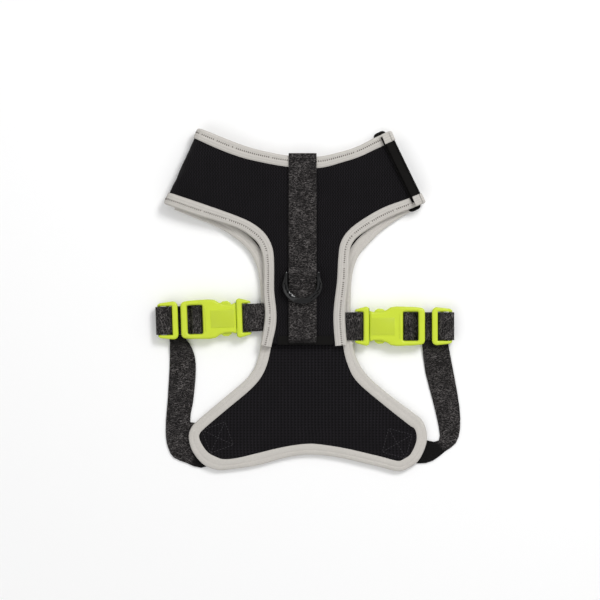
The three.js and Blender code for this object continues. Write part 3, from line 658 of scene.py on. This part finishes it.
def heather_webbing(name, ground, fleck, along_x):
    """Woven polyester harness webbing: near-black yarn with short grey flecks lying across the strap.
    Coarse and matt; the flecks come from patches of about 2.6 mm by 0.8 mm. Where the attribute
    "shade" is painted, the colour goes to half the ground without flecks: painted shade, and on the belly
    straps past their fold also their plain dark back."""
    material, tree, shader = new_material(name, 0.92, specular=0.15)
    shader.inputs["Sheen Weight"].default_value = 0.05
    where = object_millimetres(tree)
    size = (0.8, 2.6, 1.0) if along_x else (2.6, 0.8, 1.0)
    flecks = mottling(tree, where, size, 1.5, roughness=0.6)
    clumps = mottling(tree, where, (5.5, 5.5, 5.5), 1.0)
    off = add(tree, "Math", {0: flecks, 1: 0.5}, operation="SUBTRACT").outputs[0]
    from_line = add(tree, "Math", {0: off}, operation="ABSOLUTE").outputs[0]
    crossed = add(tree, "Math", {0: clumps, 1: -0.08, 2: from_line}, operation="MULTIPLY_ADD").outputs[0]
    edge_of_fleck = {0: crossed, 1: -0.05, 2: 0.025, 3: 1.0, 4: 0.0}
    share = add(tree, "MapRange", edge_of_fleck, interpolation_type="SMOOTHSTEP").outputs[0]
    woven = add(tree, "Mix", {0: share, 6: four(ground), 7: four(fleck)}, data_type="RGBA").outputs[2]
    shade = add(tree, "Attribute", attribute_name="shade").outputs["Fac"]
    # painted shade: where "shade" is painted the webbing goes to half its ground colour, without flecks
    tone_and_shade = add(tree, "Mix", {0: shade, 6: woven, 7: four(ground, 0.5)}, data_type="RGBA").outputs[2]
    row_axis = add(tree, "SeparateXYZ", {0: where}).outputs[0 if along_x else 1]
    picks = waves(tree, row_axis, 1.5)
    height = add(tree, "Math", {0: picks, 1: 0.3, 2: share}, operation="MULTIPLY_ADD").outputs[0]
    dress(tree, shader, tone_and_shade, height, 0.25)
    return material


def moulded_acetal(name, rgb):
    """Injection moulded acetal: satin lime with a soft broad sheen and the faintest mottling of the tool."""
    material, tree, shader = new_material(name, 0.42, specular=0.4)
    shader.inputs["Subsurface Weight"].default_value = 0.03
    shader.inputs["Subsurface Radius"].default_value = (0.0012, 0.0012, 0.0005)
    where = object_millimetres(tree)
    flow = mottling(tree, where, (12, 12, 12), 3.0)
    grit = mottling(tree, where, (0.5, 0.5, 0.5), 2.0)
    gloss = add(tree, "MapRange", {0: grit, 1: 0.3, 2: 0.7, 3: 0.33, 4: 0.46}).outputs[0]
    tree.links.new(gloss, shader.inputs["Roughness"])
    tone = add(tree, "Mix", {0: flow, 6: four(rgb, 0.93), 7: four(rgb, 1.05)}, data_type="RGBA").outputs[2]
    dress(tree, shader, tone, grit, 0.02)
    return material


def black_enamel(name, rgb):
    """Steel wire bent, welded and stove-enamelled black: deep gloss with a few soft dimples."""
    material, tree, shader = new_material(name, 0.16, specular=0.35)
    shader.inputs["Coat Weight"].default_value = 0.15
    shader.inputs["Coat Roughness"].default_value = 0.08
    dimples = mottling(tree, object_millimetres(tree), (3, 3, 3), 3.0)
    tone = add(tree, "Mix", {0: dimples, 6: four(rgb, 0.7), 7: four(rgb, 1.5)}, data_type="RGBA").outputs[2]
    dress(tree, shader, tone, dimples, 0.05)
    return material


def plain_weave(name, rgb):
    """Plain polyester cloth: matt, a fine over-and-under weave drawn just coarse enough to show."""
    material, tree, shader = new_material(name, 0.95, specular=0.12)
    shader.inputs["Sheen Weight"].default_value = 0.04
    where = object_millimetres(tree)
    warp, weft = (waves(tree, add(tree, "SeparateXYZ", {0: where}).outputs[i], 0.8) for i in (0, 1))
    weave = add(tree, "Math", {0: warp, 1: weft}, operation="MULTIPLY").outputs[0]
    cloudy = mottling(tree, where, (8, 8, 8), 4.0)
    height = add(tree, "Math", {0: weave, 1: 0.4, 2: cloudy}, operation="MULTIPLY_ADD").outputs[0]
    tone = add(tree, "Mix", {0: cloudy, 6: four(rgb, 0.7), 7: four(rgb, 1.3)}, data_type="RGBA").outputs[2]
    dress(tree, shader, tone, height, 0.15)
    return material


def napped_tape(name, rgb):
    """Hook or loop tape: matt black nylon with a rough nap that scatters light."""
    material, tree, shader = new_material(name, 1.0, specular=0.08)
    shader.inputs["Sheen Weight"].default_value = 0.08
    nap = mottling(tree, object_millimetres(tree), (0.7, 0.7, 0.7), 4.0)
    tone = add(tree, "Mix", {0: nap, 6: four(rgb, 0.5), 7: four(rgb, 1.5)}, data_type="RGBA").outputs[2]
    dress(tree, shader, tone, nap, 0.5)
    return material


def spun_thread(name, rgb):
    """Polyester sewing thread: matt with a slight sheen, its twist too fine to show."""
    material, tree, shader = new_material(name, 0.75, specular=0.25)
    twist = mottling(tree, object_millimetres(tree), (2.2, 2.2, 2.2), 2.0)
    tone = add(tree, "Mix", {0: twist, 6: four(rgb, 0.7), 7: four(rgb, 1.3)}, data_type="RGBA").outputs[2]
    dress(tree, shader, tone, twist, 0.05)
    return material


MATERIALS = {}


def make_materials(colours):
    MATERIALS.update(
        back_mesh=air_mesh("air_mesh_knitted_black", colours.mesh, 1.9, 2.6, 0.6, True),
        chest_mesh=air_mesh("air_mesh_lining_black", colours.lining, 2.5, 2.1, 1.2, False),
        tape=ribbed_tape("grosgrain_binding_grey", colours.binding, 0.55),
        plain_tape=ribbed_tape("plain_binding_grey", colours.binding, 0.1),
        webbing_x=heather_webbing("heather_webbing_across", colours.webbing, colours.fleck, True),
        webbing_y=heather_webbing("heather_webbing_along", colours.webbing, colours.fleck, False),
        plastic=moulded_acetal("acetal_moulded_lime", colours.plastic),
        # painted shade: the buckle's raised plate gets a darker copy of the same lime plastic
        plate=moulded_acetal("acetal_plate_lime_shaded", [c * 0.88 for c in colours.plastic]),
        ring=black_enamel("steel_enamelled_black", colours.ring),
        closure=plain_weave("polyester_plain_black", colours.closure),
        nap=napped_tape("hook_and_loop_black", colours.closure),
        thread=spun_thread("sewing_thread_taupe", colours.thread),
        dark_thread=spun_thread("sewing_thread_charcoal", colours.dark_thread),
        black_thread=spun_thread("sewing_thread_black", colours.ring),
    )


# ---------------------------------------------------------------- bound edges
def make_binding(name, stations, depth, widths, material, body, sizes, crown):
    """A tape folded round an edge, swept along its stations. Gives the piece and its frames."""
    frames = spine_frames(stations)
    rings, reach, run = [], [], 0.0
    for i, (co, normal, way_in) in enumerate(frames):
        if i:
            run += (co - frames[i - 1][0]).length
        reach.append(run * MM)
        section = tape_section(widths[i], depth, sizes.binding_wall / MM, crown)
        rings.append([(co + way_in * a - normal * d) * MM for a, d in section])
    section = tape_section(8.4, depth, sizes.binding_wall / MM, crown)
    around = [0.0]
    for a, b in zip(section, section[1:] + section[:1]):
        around.append(around[-1] + (Vector(b) - Vector(a)).length * MM)
    bm = bmesh.new()
    uv = bm.loops.layers.uv.new("tape")
    sweep(bm, rings, uv, reach, around)
    piece = finish_mesh(bm, name + "_tape")
    keep_sharp(piece, 50)
    return place(piece, body, "binding", material, name), frames


def lay_stitch(bm, centre, long_way, wide_way, high_way):
    """Adds one stitch at its centre; its three half axes are in millimetres."""
    axes = Matrix((long_way, wide_way, high_way)).transposed().to_4x4()
    spot = Matrix.Translation(centre) @ axes @ Matrix.Diagonal((MM, MM, MM, 1))
    bmesh.ops.create_uvsphere(bm, u_segments=6, v_segments=4, radius=1, matrix=spot)


def make_stitches(name, frames, widths, sizes, rng):
    """The needle stitches of a binding, one short thread across the tape at each pitch."""
    pitch, run, following = sizes.stitch_pitch / MM, 0.0, 1.2
    reach_across = sizes.stitch_length / MM
    thick = sizes.stitch_width / MM
    bm = bmesh.new()
    for (a, normal, way_in), (b, _, _), width in zip(frames, frames[1:], widths):
        step = (b - a).length
        while following < run + step:
            co = a.lerp(b, (following - run) / step)
            following += pitch
            if rng.random() < WORN_AWAY:
                continue
            along = normal.cross(way_in)
            across = width * STITCHED_AT + rng.uniform(-0.12, 0.12)
            centre = co + way_in * across + normal * 0.04
            long = reach_across * rng.uniform(0.75, 1.1) / 2
            lay_stitch(bm, centre * MM, way_in * long, along * thick / 2, normal * thick * 0.4)
        run += step
    place(finish_mesh(bm, name), "vest", "binding", MATERIALS["thread"])


class HARNESS_OT_bindings(bpy.types.Operator):
    """Makes the folded tapes that bind the edges of both panels, with their stitches"""

    bl_idname = "harness.bindings"
    bl_label = "Edge bindings"

    def execute(self, context):
        sizes = context.scene.harness_sizes
        crown = sizes.binding_crown / MM
        rng = random.Random(7)
        neck, right, left = (spline(e, 8) for e in (NECK_EDGE, RIGHT_EDGE, LEFT_EDGE))
        bands = {"neck": NECK_INNER, "right": RIGHT_INNER, "left": LEFT_INNER}
        inner = {side: spline(band, 8) for side, band in bands.items()}
        crest = LEFT_FOLD["distance"] - (LEFT_TOP - CHEST_BOTTOM) / 2

        def lifted(points):
            found = []
            for p in points:
                rise = left_rise(p.dot(LEFT_FOLD["outward"])) if p.x < SPINE_X else BACK_TOP
                found.append((Vector((p.x, p.y, rise)), UP))
            return found

        turn = list(reversed(left_turn()))
        neck_top = even(stations_on_top(neck, crest, RIGHT_ARM_END), 1.8)
        left_top = even(stations_on_top(left, crest), 1.8)
        right_top = even(stations_on_top(right, None, RIGHT_ARM_END), 1.8)
        runs = {
            "back_neck_binding": (stations_round(neck, LEFT_FOLD, turn) + lifted(neck_top), "neck"),
            "left_armhole_binding": (
                lifted(left_top) + stations_round(left, LEFT_FOLD, left_turn()), "left"
            ),
            "right_armhole_binding": (lifted(right_top), "right"),
        }
        for name, (stations, side) in runs.items():
            widths = tape_widths(stations, inner[side], 8.6)
            material = MATERIALS["tape"]
            _, frames = make_binding(name, stations, PANEL_DEPTH, widths, material, "vest", sizes, crown)
            make_stitches(name.replace("binding", "stitches"), frames, widths, sizes, rng)
        strip = strip_turn()
        flap_places = (FLAP_SPAN[0], 102.8, 104.6, FLAP_SPAN[1])
        flap = [(Vector((s, FLAP_TOP)), Vector((0, 1))) for s in flap_places]
        ends = (("upper", neck, "neck", False), ("lower", right, "right", True))
        for level, edge, side, backwards in ends:
            for prefix, profile, body in (("fold", strip, "vest"), ("flap", flap, "closure_flap")):
                stations = stations_round(edge, RIGHT_FOLD, profile)
                if backwards:
                    stations.reverse()
                widths = tape_widths(stations, inner[side], 8.4)
                make_binding(
                    f"{prefix}_{level}_binding", stations, STRIP_DEPTH, widths, MATERIALS["tape"],
                    body, sizes, 0.0,
                )
        chest = spline(CHEST_EDGE, 4)
        chest_stations = stations_on_top(chest, CHEST_LEFT_END, CHEST_RIGHT_END)
        drop = inset(neck, CHEST_NECK_DROP)
        chest_neck = stations_on_top(drop, CHEST_LEFT_END, CHEST_RIGHT_END)
        for name, line, band in (
            ("chest_edge_binding", chest_stations, spline(CHEST_INNER, 4)),
            ("chest_neck_binding", chest_neck, inset(inner["neck"], CHEST_NECK_DROP)),
        ):
            flat = [(Vector((p.x, p.y, CHEST_TOP)), UP) for p in even(line, 1.8)]
            widths = tape_widths(flat, band, 8.6)
            plain = MATERIALS["plain_tape"]
            make_binding(name, flat, PANEL_DEPTH, widths, plain, "vest", sizes, crown)
        return {"FINISHED"}


class HARNESS_OT_stage(bpy.types.Operator):
    """Makes the pale floor, the soft studio light and the camera"""

    bl_idname = "harness.stage"
    bl_label = "Studio"

    def execute(self, context):
        colours = context.scene.harness_colours
        bm = bmesh.new()
        bmesh.ops.create_grid(bm, x_segments=1, y_segments=1, size=4)
        bmesh.ops.translate(bm, verts=bm.verts, vec=(0, 0, -0.1 * MM))
        floor = finish_mesh(bm, "floor")
        material, _, shader = new_material("matt_paper_white", 0.9, specular=0.1)
        shader.inputs["Base Color"].default_value = four(colours.floor)
        floor.data.materials.append(material)

        world = bpy.data.worlds.new("studio")
        context.scene.world = world
        world.use_nodes = True
        background = world.node_tree.nodes["Background"]
        way = add(world.node_tree, "TexCoord").outputs["Generated"]
        height = add(world.node_tree, "SeparateXYZ", {0: way}).outputs[2]
        glow = add(world.node_tree, "MapRange", {0: height, 1: 0, 2: 1, 3: 0.3, 4: 0.84}).outputs[0]
        world.node_tree.links.new(glow, background.inputs["Strength"])
        background.inputs["Color"].default_value = (1, 1, 1, 1)
        for name, co, size, power in (
            ("key", (0.52, 0.68, 1.0), 0.42, 8.6),
            ("fill", (-1.1, -1.0, 1.5), 1.6, 6.5),
        ):
            light = bpy.data.lights.new(name, "AREA")
            light.shape = "SQUARE"
            light.size = size
            light.energy = power
            lamp = bpy.data.objects.new(name, light)
            context.scene.collection.objects.link(lamp)
            lamp.location = co
            lamp.rotation_euler = (-Vector(co)).to_track_quat("-Z", "Y").to_euler()

        bm = bmesh.new()
        bmesh.ops.create_circle(bm, cap_ends=True, segments=48, radius=0.42)
        bmesh.ops.translate(bm, verts=bm.verts, vec=(0, 0, 1.75))
        shade = finish_mesh(bm, "overhead_shade")
        material, _, shader = new_material("matt_cloth_black", 1.0, specular=0.0)
        shader.inputs["Base Color"].default_value = (0.01, 0.01, 0.01, 1)
        shade.data.materials.append(material)

        lens = bpy.data.cameras.new("overhead")
        camera = bpy.data.objects.new("overhead", lens)
        context.scene.collection.objects.link(camera)
        height, seen = 1.5, 0.444
        camera.location = (-0.0061, -0.0001, height)
        lens.sensor_width = 36
        lens.lens = lens.sensor_width * height / seen
        lens.clip_start, lens.clip_end = 0.05, 20
        context.scene.camera = camera
        context.scene.view_settings.view_transform = "Standard"
        return {"FINISHED"}


# ---------------------------------------------------------------- mesh panels
def outer_skin(bm, up):
    """Keeps the side of a ply that starts facing up or down and follows it round any fold."""
    start = max(bm.faces, key=lambda f: f.normal.z * up * f.calc_area())
    kept, fresh = {start}, [start]
    while fresh:
        face = fresh.pop()
        for edge in face.edges:
            for other in edge.link_faces:
                if other not in kept and face.normal.dot(other.normal) > math.cos(math.radians(48)):
                    kept.add(other)
                    fresh.append(other)
    bmesh.ops.delete(bm, geom=[f for f in bm.faces if f not in kept], context="FACES")


def swell(piece, firm, cap):
    """Puffs the sheet up between its sewn edges by a short cloth simulation, no further than cap."""
    mesh = piece.data
    rest = [v.co.copy() for v in mesh.vertices]
    group = piece.vertex_groups.new(name="sewn")
    group.add(firm, 1.0, "REPLACE")
    scene = bpy.context.scene
    cloth = piece.modifiers.new("cloth", "CLOTH")
    settings = cloth.settings
    settings.quality = 6
    settings.mass = 0.25
    settings.tension_stiffness = settings.compression_stiffness = 12
    settings.shear_stiffness = 4
    settings.bending_stiffness = 0.4
    settings.shrink_min = -0.012
    settings.use_pressure = True
    settings.uniform_pressure_force = 1.4
    settings.vertex_group_mass = "sewn"
    settings.effector_weights.gravity = 0
    cloth.collision_settings.use_collision = False
    cloth.collision_settings.use_self_collision = False
    for step in range(1, CLOTH_STEPS + 1):
        scene.frame_set(step)
    posed = piece.evaluated_get(bpy.context.evaluated_depsgraph_get())
    moved = [v.co.copy() for v in posed.data.vertices]
    piece.modifiers.remove(cloth)
    scene.frame_set(1)
    for vertex, before, after in zip(mesh.vertices, rest, moved):
        shift = after - before
        vertex.co = before + shift.normalized() * min(shift.length, cap)
    piece.vertex_groups.remove(group)


def make_ply(name, up, body, slot, material, sizes, cap, sewn=lambda co: False, cell=None):
    """One ply of a panel: the CAD ply's outer side, cut in cells, puffed up and given its thickness."""
    bm = merged_copy(name)
    outer_skin(bm, up)
    cut_grid(bm, cell or sizes.panel_grid)
    bmesh.ops.remove_doubles(bm, verts=bm.verts, dist=2e-5)
    edge = kdtree.KDTree(len(bm.verts))
    for vert in bm.verts:
        if vert.is_boundary:
            edge.insert(vert.co, vert.index)
    edge.balance()
    mesh = bpy.data.meshes.new(name + "_ply")
    bm.to_mesh(mesh)
    bm.free()
    piece = bpy.data.objects.new(name + "_ply", mesh)
    bpy.context.scene.collection.objects.link(piece)
    covered = SEWN_EDGE * MM
    firm = [v.index for v in mesh.vertices if edge.find(v.co)[2] < covered or sewn(v.co)]
    swell(piece, firm, cap)
    for face in mesh.polygons:
        face.use_smooth = True
    solidify = piece.modifiers.new("thickness", "SOLIDIFY")
    solidify.thickness = sizes.ply
    solidify.offset = -1
    round_off = piece.modifiers.new("smooth", "SUBSURF")
    round_off.levels = round_off.render_levels = 1
    place(piece, body, slot, material, name)
    return piece


class HARNESS_OT_panels(bpy.types.Operator):
    """Makes the mesh plies of the back and chest panels and the cloth of the closure"""

    bl_idname = "harness.panels"
    bl_label = "Mesh panels"

    def execute(self, context):
        sizes = context.scene.harness_sizes
        low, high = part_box("spine_strap")
        seam = 1.5 * MM

        def under_strap(co):
            return low.x + seam < co.x < high.x - seam and co.y < high.y

        swell_cap = sizes.panel_swell
        back, chest = MATERIALS["back_mesh"], MATERIALS["chest_mesh"]
        make_ply("back_panel_outer_mesh", 1, "vest", "air_mesh", back, sizes, swell_cap, under_strap)
        make_ply("back_panel_lining", -1, "vest", "lining", chest, sizes, 0.4 * MM, under_strap)
        make_ply("chest_panel_lining", 1, "vest", "lining", chest, sizes, 0.6 * MM)
        make_ply("chest_panel_outer_mesh", -1, "vest", "air_mesh", back, sizes, 0.4 * MM)
        closure = MATERIALS["closure"]
        fine = 2.4 * MM
        make_ply("neck_fold_strip", -1, "vest", "closure_tape", closure, sizes, 0.25 * MM, cell=fine)
        make_ply("neck_flap", 1, "closure_flap", "closure_tape", closure, sizes, 0.2 * MM, cell=fine)
        return {"FINISHED"}


# ---------------------------------------------------------------- webbing, hem and tapes
def gentle_waves(bm, depth, wavelength):
    """Lets flat fabric rise and fall a little, the same way each time."""
    for vert in bm.verts:
        flat = Vector((vert.co.x, vert.co.y, 0)) / wavelength
        vert.co.z += depth * noise.noise(flat)


def soft_copy(node, edge, cell, wave=0.0):
    """A CAD soft solid with rounded edges, cut in cells so that it can bend and sag."""
    bm = merged_copy(node)
    round_edges(bm, sharp_edges(bm, FOLD_ANGLE), edge, 2)
    cut_grid(bm, cell)
    bmesh.ops.remove_doubles(bm, verts=bm.verts, dist=1e-5)
    if wave:
        gentle_waves(bm, wave, 11 * MM)
    return bm


class HARNESS_OT_webbing(bpy.types.Operator):
    """Makes the straps of webbing: the spine strap and its keeper, the sewn stubs and the side loops"""

    bl_idname = "harness.webbing"
    bl_label = "Webbing"

    def execute(self, context):
        sizes = context.scene.harness_sizes
        edge = sizes.webbing_edge
        along, across = MATERIALS["webbing_y"], MATERIALS["webbing_x"]
        cut_strap = soft_copy("spine_strap", edge, WEBBING_CELL * MM, 0.2 * MM)
        strap = finish_mesh(cut_strap, "spine_strap_webbing")
        shade = strap.data.attributes.new("shade", "FLOAT", "POINT")
        # painted shade: the strap is painted darker over its last few millimetres above the hem
        for vert, value in zip(strap.data.vertices, shade.data):
            value.value = 0.8 * smoothstep((HEM_Y + 6 - vert.co.y / MM) / 4)
        place(keep_sharp(strap, 60), "vest", "webbing", along, "spine_strap")
        cut_keeper = soft_copy("ring_keeper", edge * 0.8, LOOP_CELL * MM)
        keeper = finish_mesh(cut_keeper, "ring_keeper_webbing")
        place(keep_sharp(keeper, 60), "vest", "webbing", along, "ring_keeper")
        for side in ("left", "right"):
            stub = soft_copy(f"{side}_stub_webbing", edge, WEBBING_CELL * MM)
            stub = finish_mesh(stub, f"{side}_stub_strap")
            place(keep_sharp(stub, 60), "vest", "webbing", across, f"{side}_stub_webbing")
            loop = soft_copy(f"{side}_loop_webbing", edge, LOOP_CELL * MM)
            self.fill_window(loop, side)
            loop = finish_mesh(loop, f"{side}_loop_strap")
            place(keep_sharp(loop, 60), None, "webbing", across, f"{side}_loop_webbing")
            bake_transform(loop)
            self.belly_strap(side, sizes, along)
        return {"FINISHED"}

    def fill_window(self, bm, side):
        """Lets the fold of the loop bulge in, until it fills the window of the buckle."""
        towards = -1 if side == "right" else 1
        tip = max(towards * v.co.x for v in bm.verts)
        for vert in bm.verts:
            share = smoothstep((towards * vert.co.x - tip + WINDOW_FOLD) / WINDOW_FOLD)
            vert.co.x += towards * WINDOW_GAP * share

    def belly_strap(self, side, sizes, material):
        """The strap round the belly: flat on the ground, rising to the slider that holds it."""
        bm = soft_copy(f"{side}_belly_strap", sizes.webbing_edge, WEBBING_CELL * MM)
        low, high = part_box(f"{side}_belly_strap")
        slider_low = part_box(f"{side}_loop_webbing")[0].z
        climb = max(slider_low - high.z - 0.0004, 0)
        start, end = -46 * MM, high.y
        for vert in bm.verts:
            share = smoothstep((vert.co.y - start) / (end - 6 * MM - start))
            vert.co.z += climb * share
        strap = finish_mesh(bm, f"{side}_belly_webbing")
        self.paint_back_and_shadow(strap, side)
        place(keep_sharp(strap, 60), None, "webbing", material, f"{side}_belly_strap")
        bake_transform(strap)

    def paint_back_and_shadow(self, strap, side):
        """Paints the strap dark without flecks: past its fold at the chest, where its plain back shows and
        the dark is also painted shade, and under the slider, where it is painted shadow.
        """
        shade = strap.data.attributes.new("shade", "FLOAT", "POINT")
        (x, y), (across, down) = BELLY_FOLDS[side]
        for vert, value in zip(strap.data.vertices, shade.data):
            # painted shade past the fold at the chest, where the strap's plain back also shows
            past_fold = (vert.co.x / MM - x) * across + (vert.co.y / MM - y) * down
            # painted shadow under the slider
            under = smoothstep((vert.co.y / MM + 38) / 5)
            value.value = max(smoothstep(past_fold / 2 + 0.5), under * 0.8)


class HARNESS_OT_closure(bpy.types.Operator):
    """Makes the hem of the back panel, the closure patch and the hook and loop tapes"""

    bl_idname = "harness.closure"
    bl_label = "Hem and closure"

    def execute(self, context):
        pieces = (
            ("back_hem", "vest", 0.45, "closure"),
            ("neck_closure_patch", "vest", 0.5, "nap"),
            ("neck_loop_tape", "vest", 0.22, "nap"),
            ("flap_hook_tape", "closure_flap", 0.22, "nap"),
        )
        for node, body, edge, finish in pieces:
            bm = soft_copy(node, edge * MM, WEBBING_CELL * MM)
            if node == "neck_loop_tape":
                self.tuck_in(bm)
            piece = finish_mesh(bm, node + "_cloth")
            place(keep_sharp(piece, 60), body, "closure_tape", MATERIALS[finish], node)
        return {"FINISHED"}

    def tuck_in(self, bm):
        """Draws the loop tape's bare edge in towards the flap that covers it."""
        out = RIGHT_FOLD["outward"].to_3d()
        for vert in bm.verts:
            bare = FLAP_SPAN[0] * MM - vert.co.dot(out)
            if bare > 0:
                vert.co += out * bare * 0.6


# ---------------------------------------------------------------- sewn rows
def sewn_row(bm, start, end, piece, thick):
    """A row of thread lying on the piece from start to end, one stitch at each pitch."""
    graph = bpy.context.evaluated_depsgraph_get()
    cloth = piece.evaluated_get(graph)
    way = (end - start).normalized()
    side = Vector((-way.y, way.x))
    for k in range(int((end - start).length / SEWN_PITCH)):
        flat = (start + way * (k + 0.5) * SEWN_PITCH) * MM
        hit, spot, _, _ = cloth.ray_cast(Vector((flat.x, flat.y, 0.1)), Vector((0, 0, -1)))
        if hit:
            lay_stitch(bm, spot, way.to_3d() * 0.8, side.to_3d() * thick / 2, UP * thick / 2)


class HARNESS_OT_sewing(bpy.types.Operator):
    """Sews the crossed boxes on the chest and the rows across the spine strap and its keeper"""

    bl_idname = "harness.sewing"
    bl_label = "Sewn rows"

    def execute(self, context):
        thread = context.scene.harness_sizes.stitch_width / MM
        chest = bpy.data.objects["chest_panel_lining_ply"]
        bm = bmesh.new()
        for x, y, turn in CROSS_BOXES:
            spin = Matrix.Rotation(math.radians(turn), 2)
            corners = [
                Vector((x, y)) + spin @ Vector((i * CROSS_HALF, j * CROSS_HALF))
                for i, j in ((-1, -1), (1, -1), (1, 1), (-1, 1))
            ]
            for a, b in ((0, 1), (1, 2), (2, 3), (3, 0), (0, 2), (1, 3)):
                sewn_row(bm, corners[a], corners[b], chest, thread)
        place(finish_mesh(bm, "chest_cross_stitches"), "vest", "lining", MATERIALS["dark_thread"])
        bm = bmesh.new()
        for name, node, rows in (
            ("spine_strap_webbing", "spine_strap", (-4.0,)),
            ("ring_keeper_webbing", "ring_keeper", (-1.4, -11.6)),
        ):
            low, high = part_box(node)
            for row in rows:
                start = Vector((low.x / MM + 1.2, high.y / MM + row))
                end = Vector((high.x / MM - 1.2, high.y / MM + row))
                sewn_row(bm, start, end, bpy.data.objects[name], 1.5 * thread)
        place(finish_mesh(bm, "strap_stitches"), "vest", "webbing", MATERIALS["black_thread"])
        return {"FINISHED"}


# ---------------------------------------------------------------- moulded plastic and the ring
class HARNESS_OT_plastic(bpy.types.Operator):
    """Makes the moulded side-release buckles and the sliders"""

    bl_idname = "harness.plastic"
    bl_label = "Buckles and sliders"

    def execute(self, context):
        sizes = context.scene.harness_sizes
        for side in ("left", "right"):
            parts = (
                ("buckle_male_base", "vest"), ("buckle_female", f"{side}_female"),
                ("slider", f"{side}_adjuster"), ("prong_a", f"{side}_prong_a"),
                ("prong_b", f"{side}_prong_b"),
            )
            for part, body in parts:
                node = f"{side}_{part}"
                bm = merged_copy(node)
                if not part.startswith("prong"):
                    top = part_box(node)[1].z
                    round_edges(bm, upright_edges(bm, top), sizes.corner, 4)
                    roll_rims(bm, *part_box(node), sizes.plastic_rim * (0.7 if part == "slider" else 1))
                else:
                    round_edges(bm, sharp_edges(bm, 35), sizes.plastic_edge, 3)
                if part == "buckle_female":
                    self.raised(bm, side, PLATE, top)
                    self.raised(bm, side, RIDGE, top)
                piece = finish_mesh(bm, node + "_moulding")
                place(keep_sharp(piece, 40), body, "lime_plastic", MATERIALS["plastic"], node)
                # painted shade: the plate's top faces take the darker copy of the lime
                if part == "buckle_female":
                    piece.data.materials.append(MATERIALS["plate"])
                    for face in piece.data.polygons:
                        raised = face.center.z > top + PLATE_RISE * 0.9
                        face.material_index = int(raised and face.area > 1e-4)
        return {"FINISHED"}

    def raised(self, bm, side, outline, top):
        """Adds a low plate with rounded edges to the buckle's upper face."""
        (x, y), turn = BUCKLE_ENDS[side]
        start, end, half = outline
        middle = Vector(((start + end) / 2, 0, 0))
        spot = Matrix.Translation((x, y, top / MM)) @ Matrix.Rotation(math.radians(turn), 4, "Z")
        spot = Matrix.Scale(MM, 4) @ spot @ Matrix.Translation(middle)
        spot = spot @ Matrix.Diagonal((end - start, 2 * half, 2 * PLATE_RISE / MM, 1))
        cube = bmesh.ops.create_cube(bm, size=1, matrix=spot)["verts"]
        edges = {edge for vert in cube for edge in vert.link_edges}
        round_edges(bm, list(edges), PLATE_RISE * 0.9, 3)


class HARNESS_OT_ring(bpy.types.Operator):
    """Makes the enamelled leash ring"""

    bl_idname = "harness.ring"
    bl_label = "Leash ring"

    def execute(self, context):
        bm = merged_copy("d_ring")
        self.draw_in_legs(bm)
        round_edges(bm, sharp_edges(bm, 60), context.scene.harness_sizes.ring_edge, 5)
        ring = finish_mesh(bm, "leash_ring")
        place(keep_sharp(ring, 60), "ring", "ring_metal", MATERIALS["ring"], "d_ring")
        return {"FINISHED"}

    def draw_in_legs(self, bm):
        """Thins the outer side of the legs towards the bar, where they go in under the webbing."""
        low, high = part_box("d_ring")
        middle = (low.x + high.x) / 2
        inner = (high.x - low.x) / 2 - RING_WIRE
        cut_grid(bm, 1.6 * MM, "y")
        start = high.y - 11 * MM
        for vert in bm.verts:
            beyond = abs(vert.co.x - middle) - inner
            if beyond > 0 and vert.co.y > start:
                kept = 1 - 0.62 * smoothstep((vert.co.y - start) / (high.y - start))
                way = math.copysign(1, vert.co.x - middle)
                vert.co.x = middle + way * (inner + beyond * kept)


class HARNESS_PT_panel(bpy.types.Panel):
    """Shows the harness's sizes and colours and the buttons that make its pieces, in the sidebar"""

    bl_idname = "HARNESS_PT_panel"
    bl_label = "Harness vest"
    bl_space_type = "VIEW_3D"
    bl_region_type = "UI"
    bl_category = "Harness"

    def draw(self, context):
        layout = self.layout
        for group in (context.scene.harness_sizes, context.scene.harness_colours):
            for key in group.__annotations__:
                layout.prop(group, key)
        for operator in OPERATORS:
            layout.operator(operator.bl_idname)


OPERATORS = [
    HARNESS_OT_stage, HARNESS_OT_bindings, HARNESS_OT_panels, HARNESS_OT_webbing,
    HARNESS_OT_closure, HARNESS_OT_sewing, HARNESS_OT_plastic, HARNESS_OT_ring,
]
CLASSES = (HarnessSizes, HarnessColours, *OPERATORS, HARNESS_PT_panel)


def register():
    for cls in CLASSES:
        bpy.utils.register_class(cls)
    bpy.types.Scene.harness_sizes = PointerProperty(type=HarnessSizes)
    bpy.types.Scene.harness_colours = PointerProperty(type=HarnessColours)


def unregister():
    del bpy.types.Scene.harness_sizes
    del bpy.types.Scene.harness_colours
    for cls in reversed(CLASSES):
        bpy.utils.unregister_class(cls)


def main():
    register()
    make_materials(bpy.context.scene.harness_colours)
    for operator in OPERATORS:
        group, name = operator.bl_idname.split(".")
        getattr(getattr(bpy.ops, group), name)()


if __name__ == "__main__":
    main()
